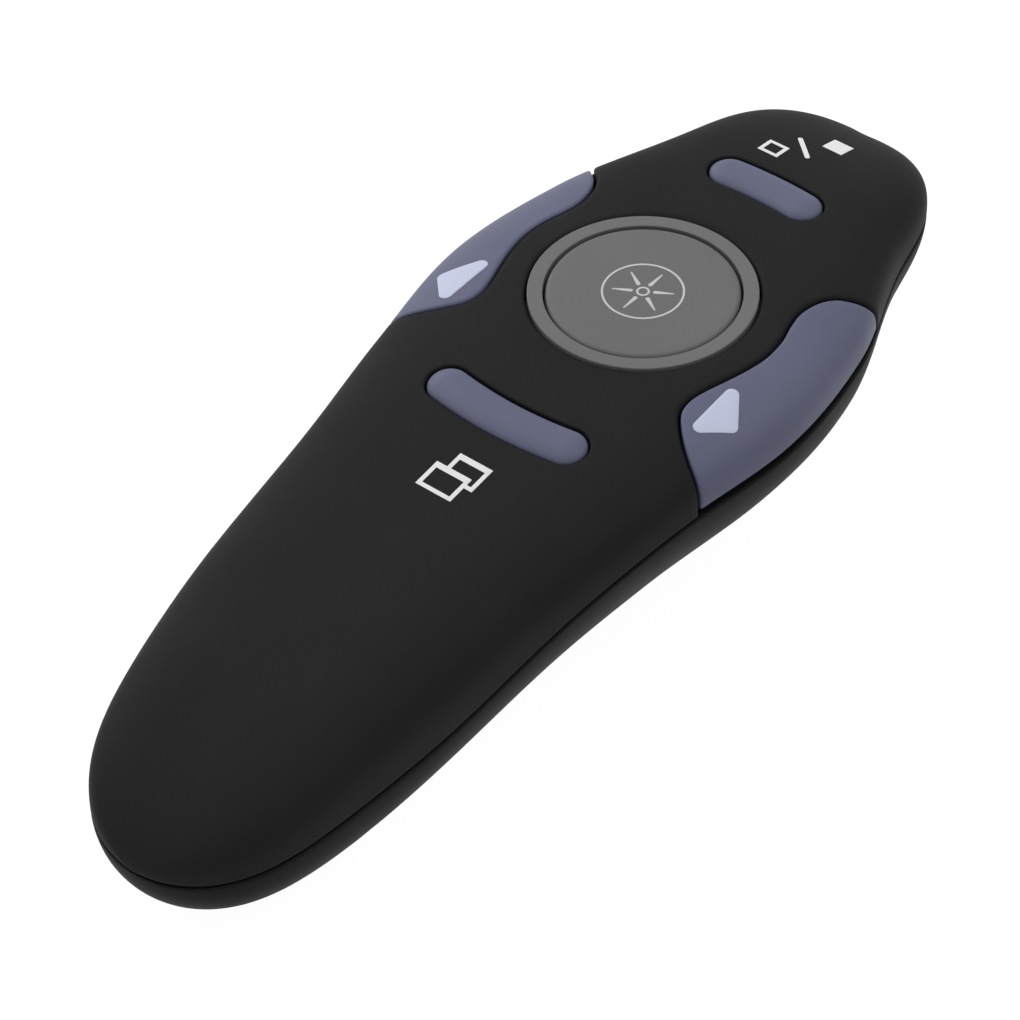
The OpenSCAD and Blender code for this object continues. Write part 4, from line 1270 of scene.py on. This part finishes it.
# %% Boards and clear parts
def solder_mask(name):
    finish = Finish(name, Coat_Weight=0.2, Coat_Roughness=0.2)
    net = finish.node("TexVoronoi", feature="DISTANCE_TO_EDGE")
    net.inputs["Scale"].default_value = 1 / (1.7 * mm)
    finish.link(finish.place, net.inputs["Vector"])
    traces = net.outputs["Distance"]
    finish.colour(finish.ramp(traces, (0.0, rgb(28, 104, 62)), (0.07, rgb(26, 98, 58)),
                              (0.1, rgb(10, 66, 38)), (0.6, rgb(8, 60, 34))))
    finish.gloss(finish.between(finish.noise(0.8, 3), 0.28, 0.4))
    finish.relief(finish.between(traces, 1.0, 0.0, 0.06, 0.1), 0.02)
    return finish.material


def polished(name, colour, drift, **sockets):
    finish = Finish(name, **sockets)
    dark, light = shades(colour, drift, drift)
    finish.colour(finish.ramp(finish.noise(4, 2), (0.3, dark), (0.7, light)))
    finish.gloss(finish.between(finish.noise(1.5, 2), 0.05, 0.09))
    return finish.material


dress(solder_mask("solder_mask"), "main_board", "laser_board", "receiver_board")
dress(polished("window_red", (78, 8, 12), 3, Transmission_Weight=0.35, IOR=1.5), "nose_window")
dress(polished("lens_clear", (232, 240, 244), 2, Transmission_Weight=1.0, IOR=1.5), "laser_lens")
print("materials:", len(bpy.data.materials))

# %% [markdown]
# ## Studio
# White paper and two large soft lamps, the stronger one on the left. To the camera, in
# reflections and through glass, the paper and the sky are the clean white of a catalogue
# page, while they light the clicker at a plain level. A little plain paper is left in what
# the camera sees of the floor, and that is where the shadow of the clicker falls.

# %% Floor and world
def seen_directly(tree):
    """1 for rays that the camera, a reflection or a glass sends out, and 0 for plain light."""
    light_path = tree.nodes.new("ShaderNodeLightPath")
    total = light_path.outputs["Is Camera Ray"]
    for kind in ("Is Glossy Ray", "Is Transmission Ray"):
        add = tree.nodes.new("ShaderNodeMath")
        add.operation = "MAXIMUM"
        tree.links.new(total, add.inputs[0])
        tree.links.new(light_path.outputs[kind], add.inputs[1])
        total = add.outputs["Value"]
    return total


paper = Finish("floor_paper", roughness=0.9)
paper.colour(paper.ramp(paper.noise(40, 2), (0.3, rgb(198, 198, 198)), (0.7, rgb(202, 202, 202))))
paper.relief(paper.noise(0.6, 3), 0.01)
white, plain, shown, chosen, see_through, sides = (paper.node(kind) for kind in (
    "Emission", "BsdfDiffuse", "AddShader", "MixShader", "BsdfTransparent", "MixShader"))
white.inputs["Strength"].default_value = 0.96
plain.inputs["Color"].default_value = (0.13, 0.13, 0.13, 1)
for source, target in (
        (white.outputs["Emission"], shown.inputs[0]),
        (plain.outputs["BSDF"], shown.inputs[1]),
        (seen_directly(paper.tree), chosen.inputs["Fac"]),
        (paper.shader.outputs["BSDF"], chosen.inputs[1]),
        (shown.outputs["Shader"], chosen.inputs[2]),
        (paper.node("NewGeometry").outputs["Backfacing"], sides.inputs["Fac"]),
        (chosen.outputs["Shader"], sides.inputs[1]),
        (see_through.outputs["BSDF"], sides.inputs[2]),
        (sides.outputs["Shader"], paper.tree.nodes["Material Output"].inputs["Surface"])):
    paper.link(source, target)

bm = bmesh.new()
bmesh.ops.create_grid(bm, x_segments=8, y_segments=8, size=3)
floor = as_object("floor", bm)
dress(paper.material, "floor")

world = bpy.data.worlds.new("world")
bpy.context.scene.world = world
world.use_nodes = True
background = world.node_tree.nodes["Background"]
background.inputs["Color"].default_value = (1, 1, 1, 1)
level = world.node_tree.nodes.new("ShaderNodeMapRange")
level.inputs["To Min"].default_value = 0.5  # as a light
level.inputs["To Max"].default_value = 1.0  # as seen
world.node_tree.links.new(seen_directly(world.node_tree), level.inputs["Value"])
world.node_tree.links.new(level.outputs["Result"], background.inputs["Strength"])
print("floor:", [round(v, 1) for v in floor.dimensions], "m")

# %% Lamps
def lamp(name, where, size, watts):
    """A soft square lamp that points at the middle of the clicker."""
    data = bpy.data.lights.new(name, "AREA")
    data.shape, data.size, data.energy = "SQUARE", size, watts
    obj = bpy.data.objects.new(name, data)
    aim = (Vector((0, 0, 0.015)) - Vector(where)).to_track_quat("-Z", "Y")
    obj.matrix_world = Matrix.Translation(where) @ aim.to_matrix().to_4x4()
    bpy.context.scene.collection.objects.link(obj)
    return obj


lamp("left lamp", (-0.95, 0.05, 0.75), 1.2, 9)
lamp("top lamp", (0.5, 0.3, 1.15), 1.0, 4.5)

scene = bpy.context.scene
scene.view_settings.view_transform = "Standard"
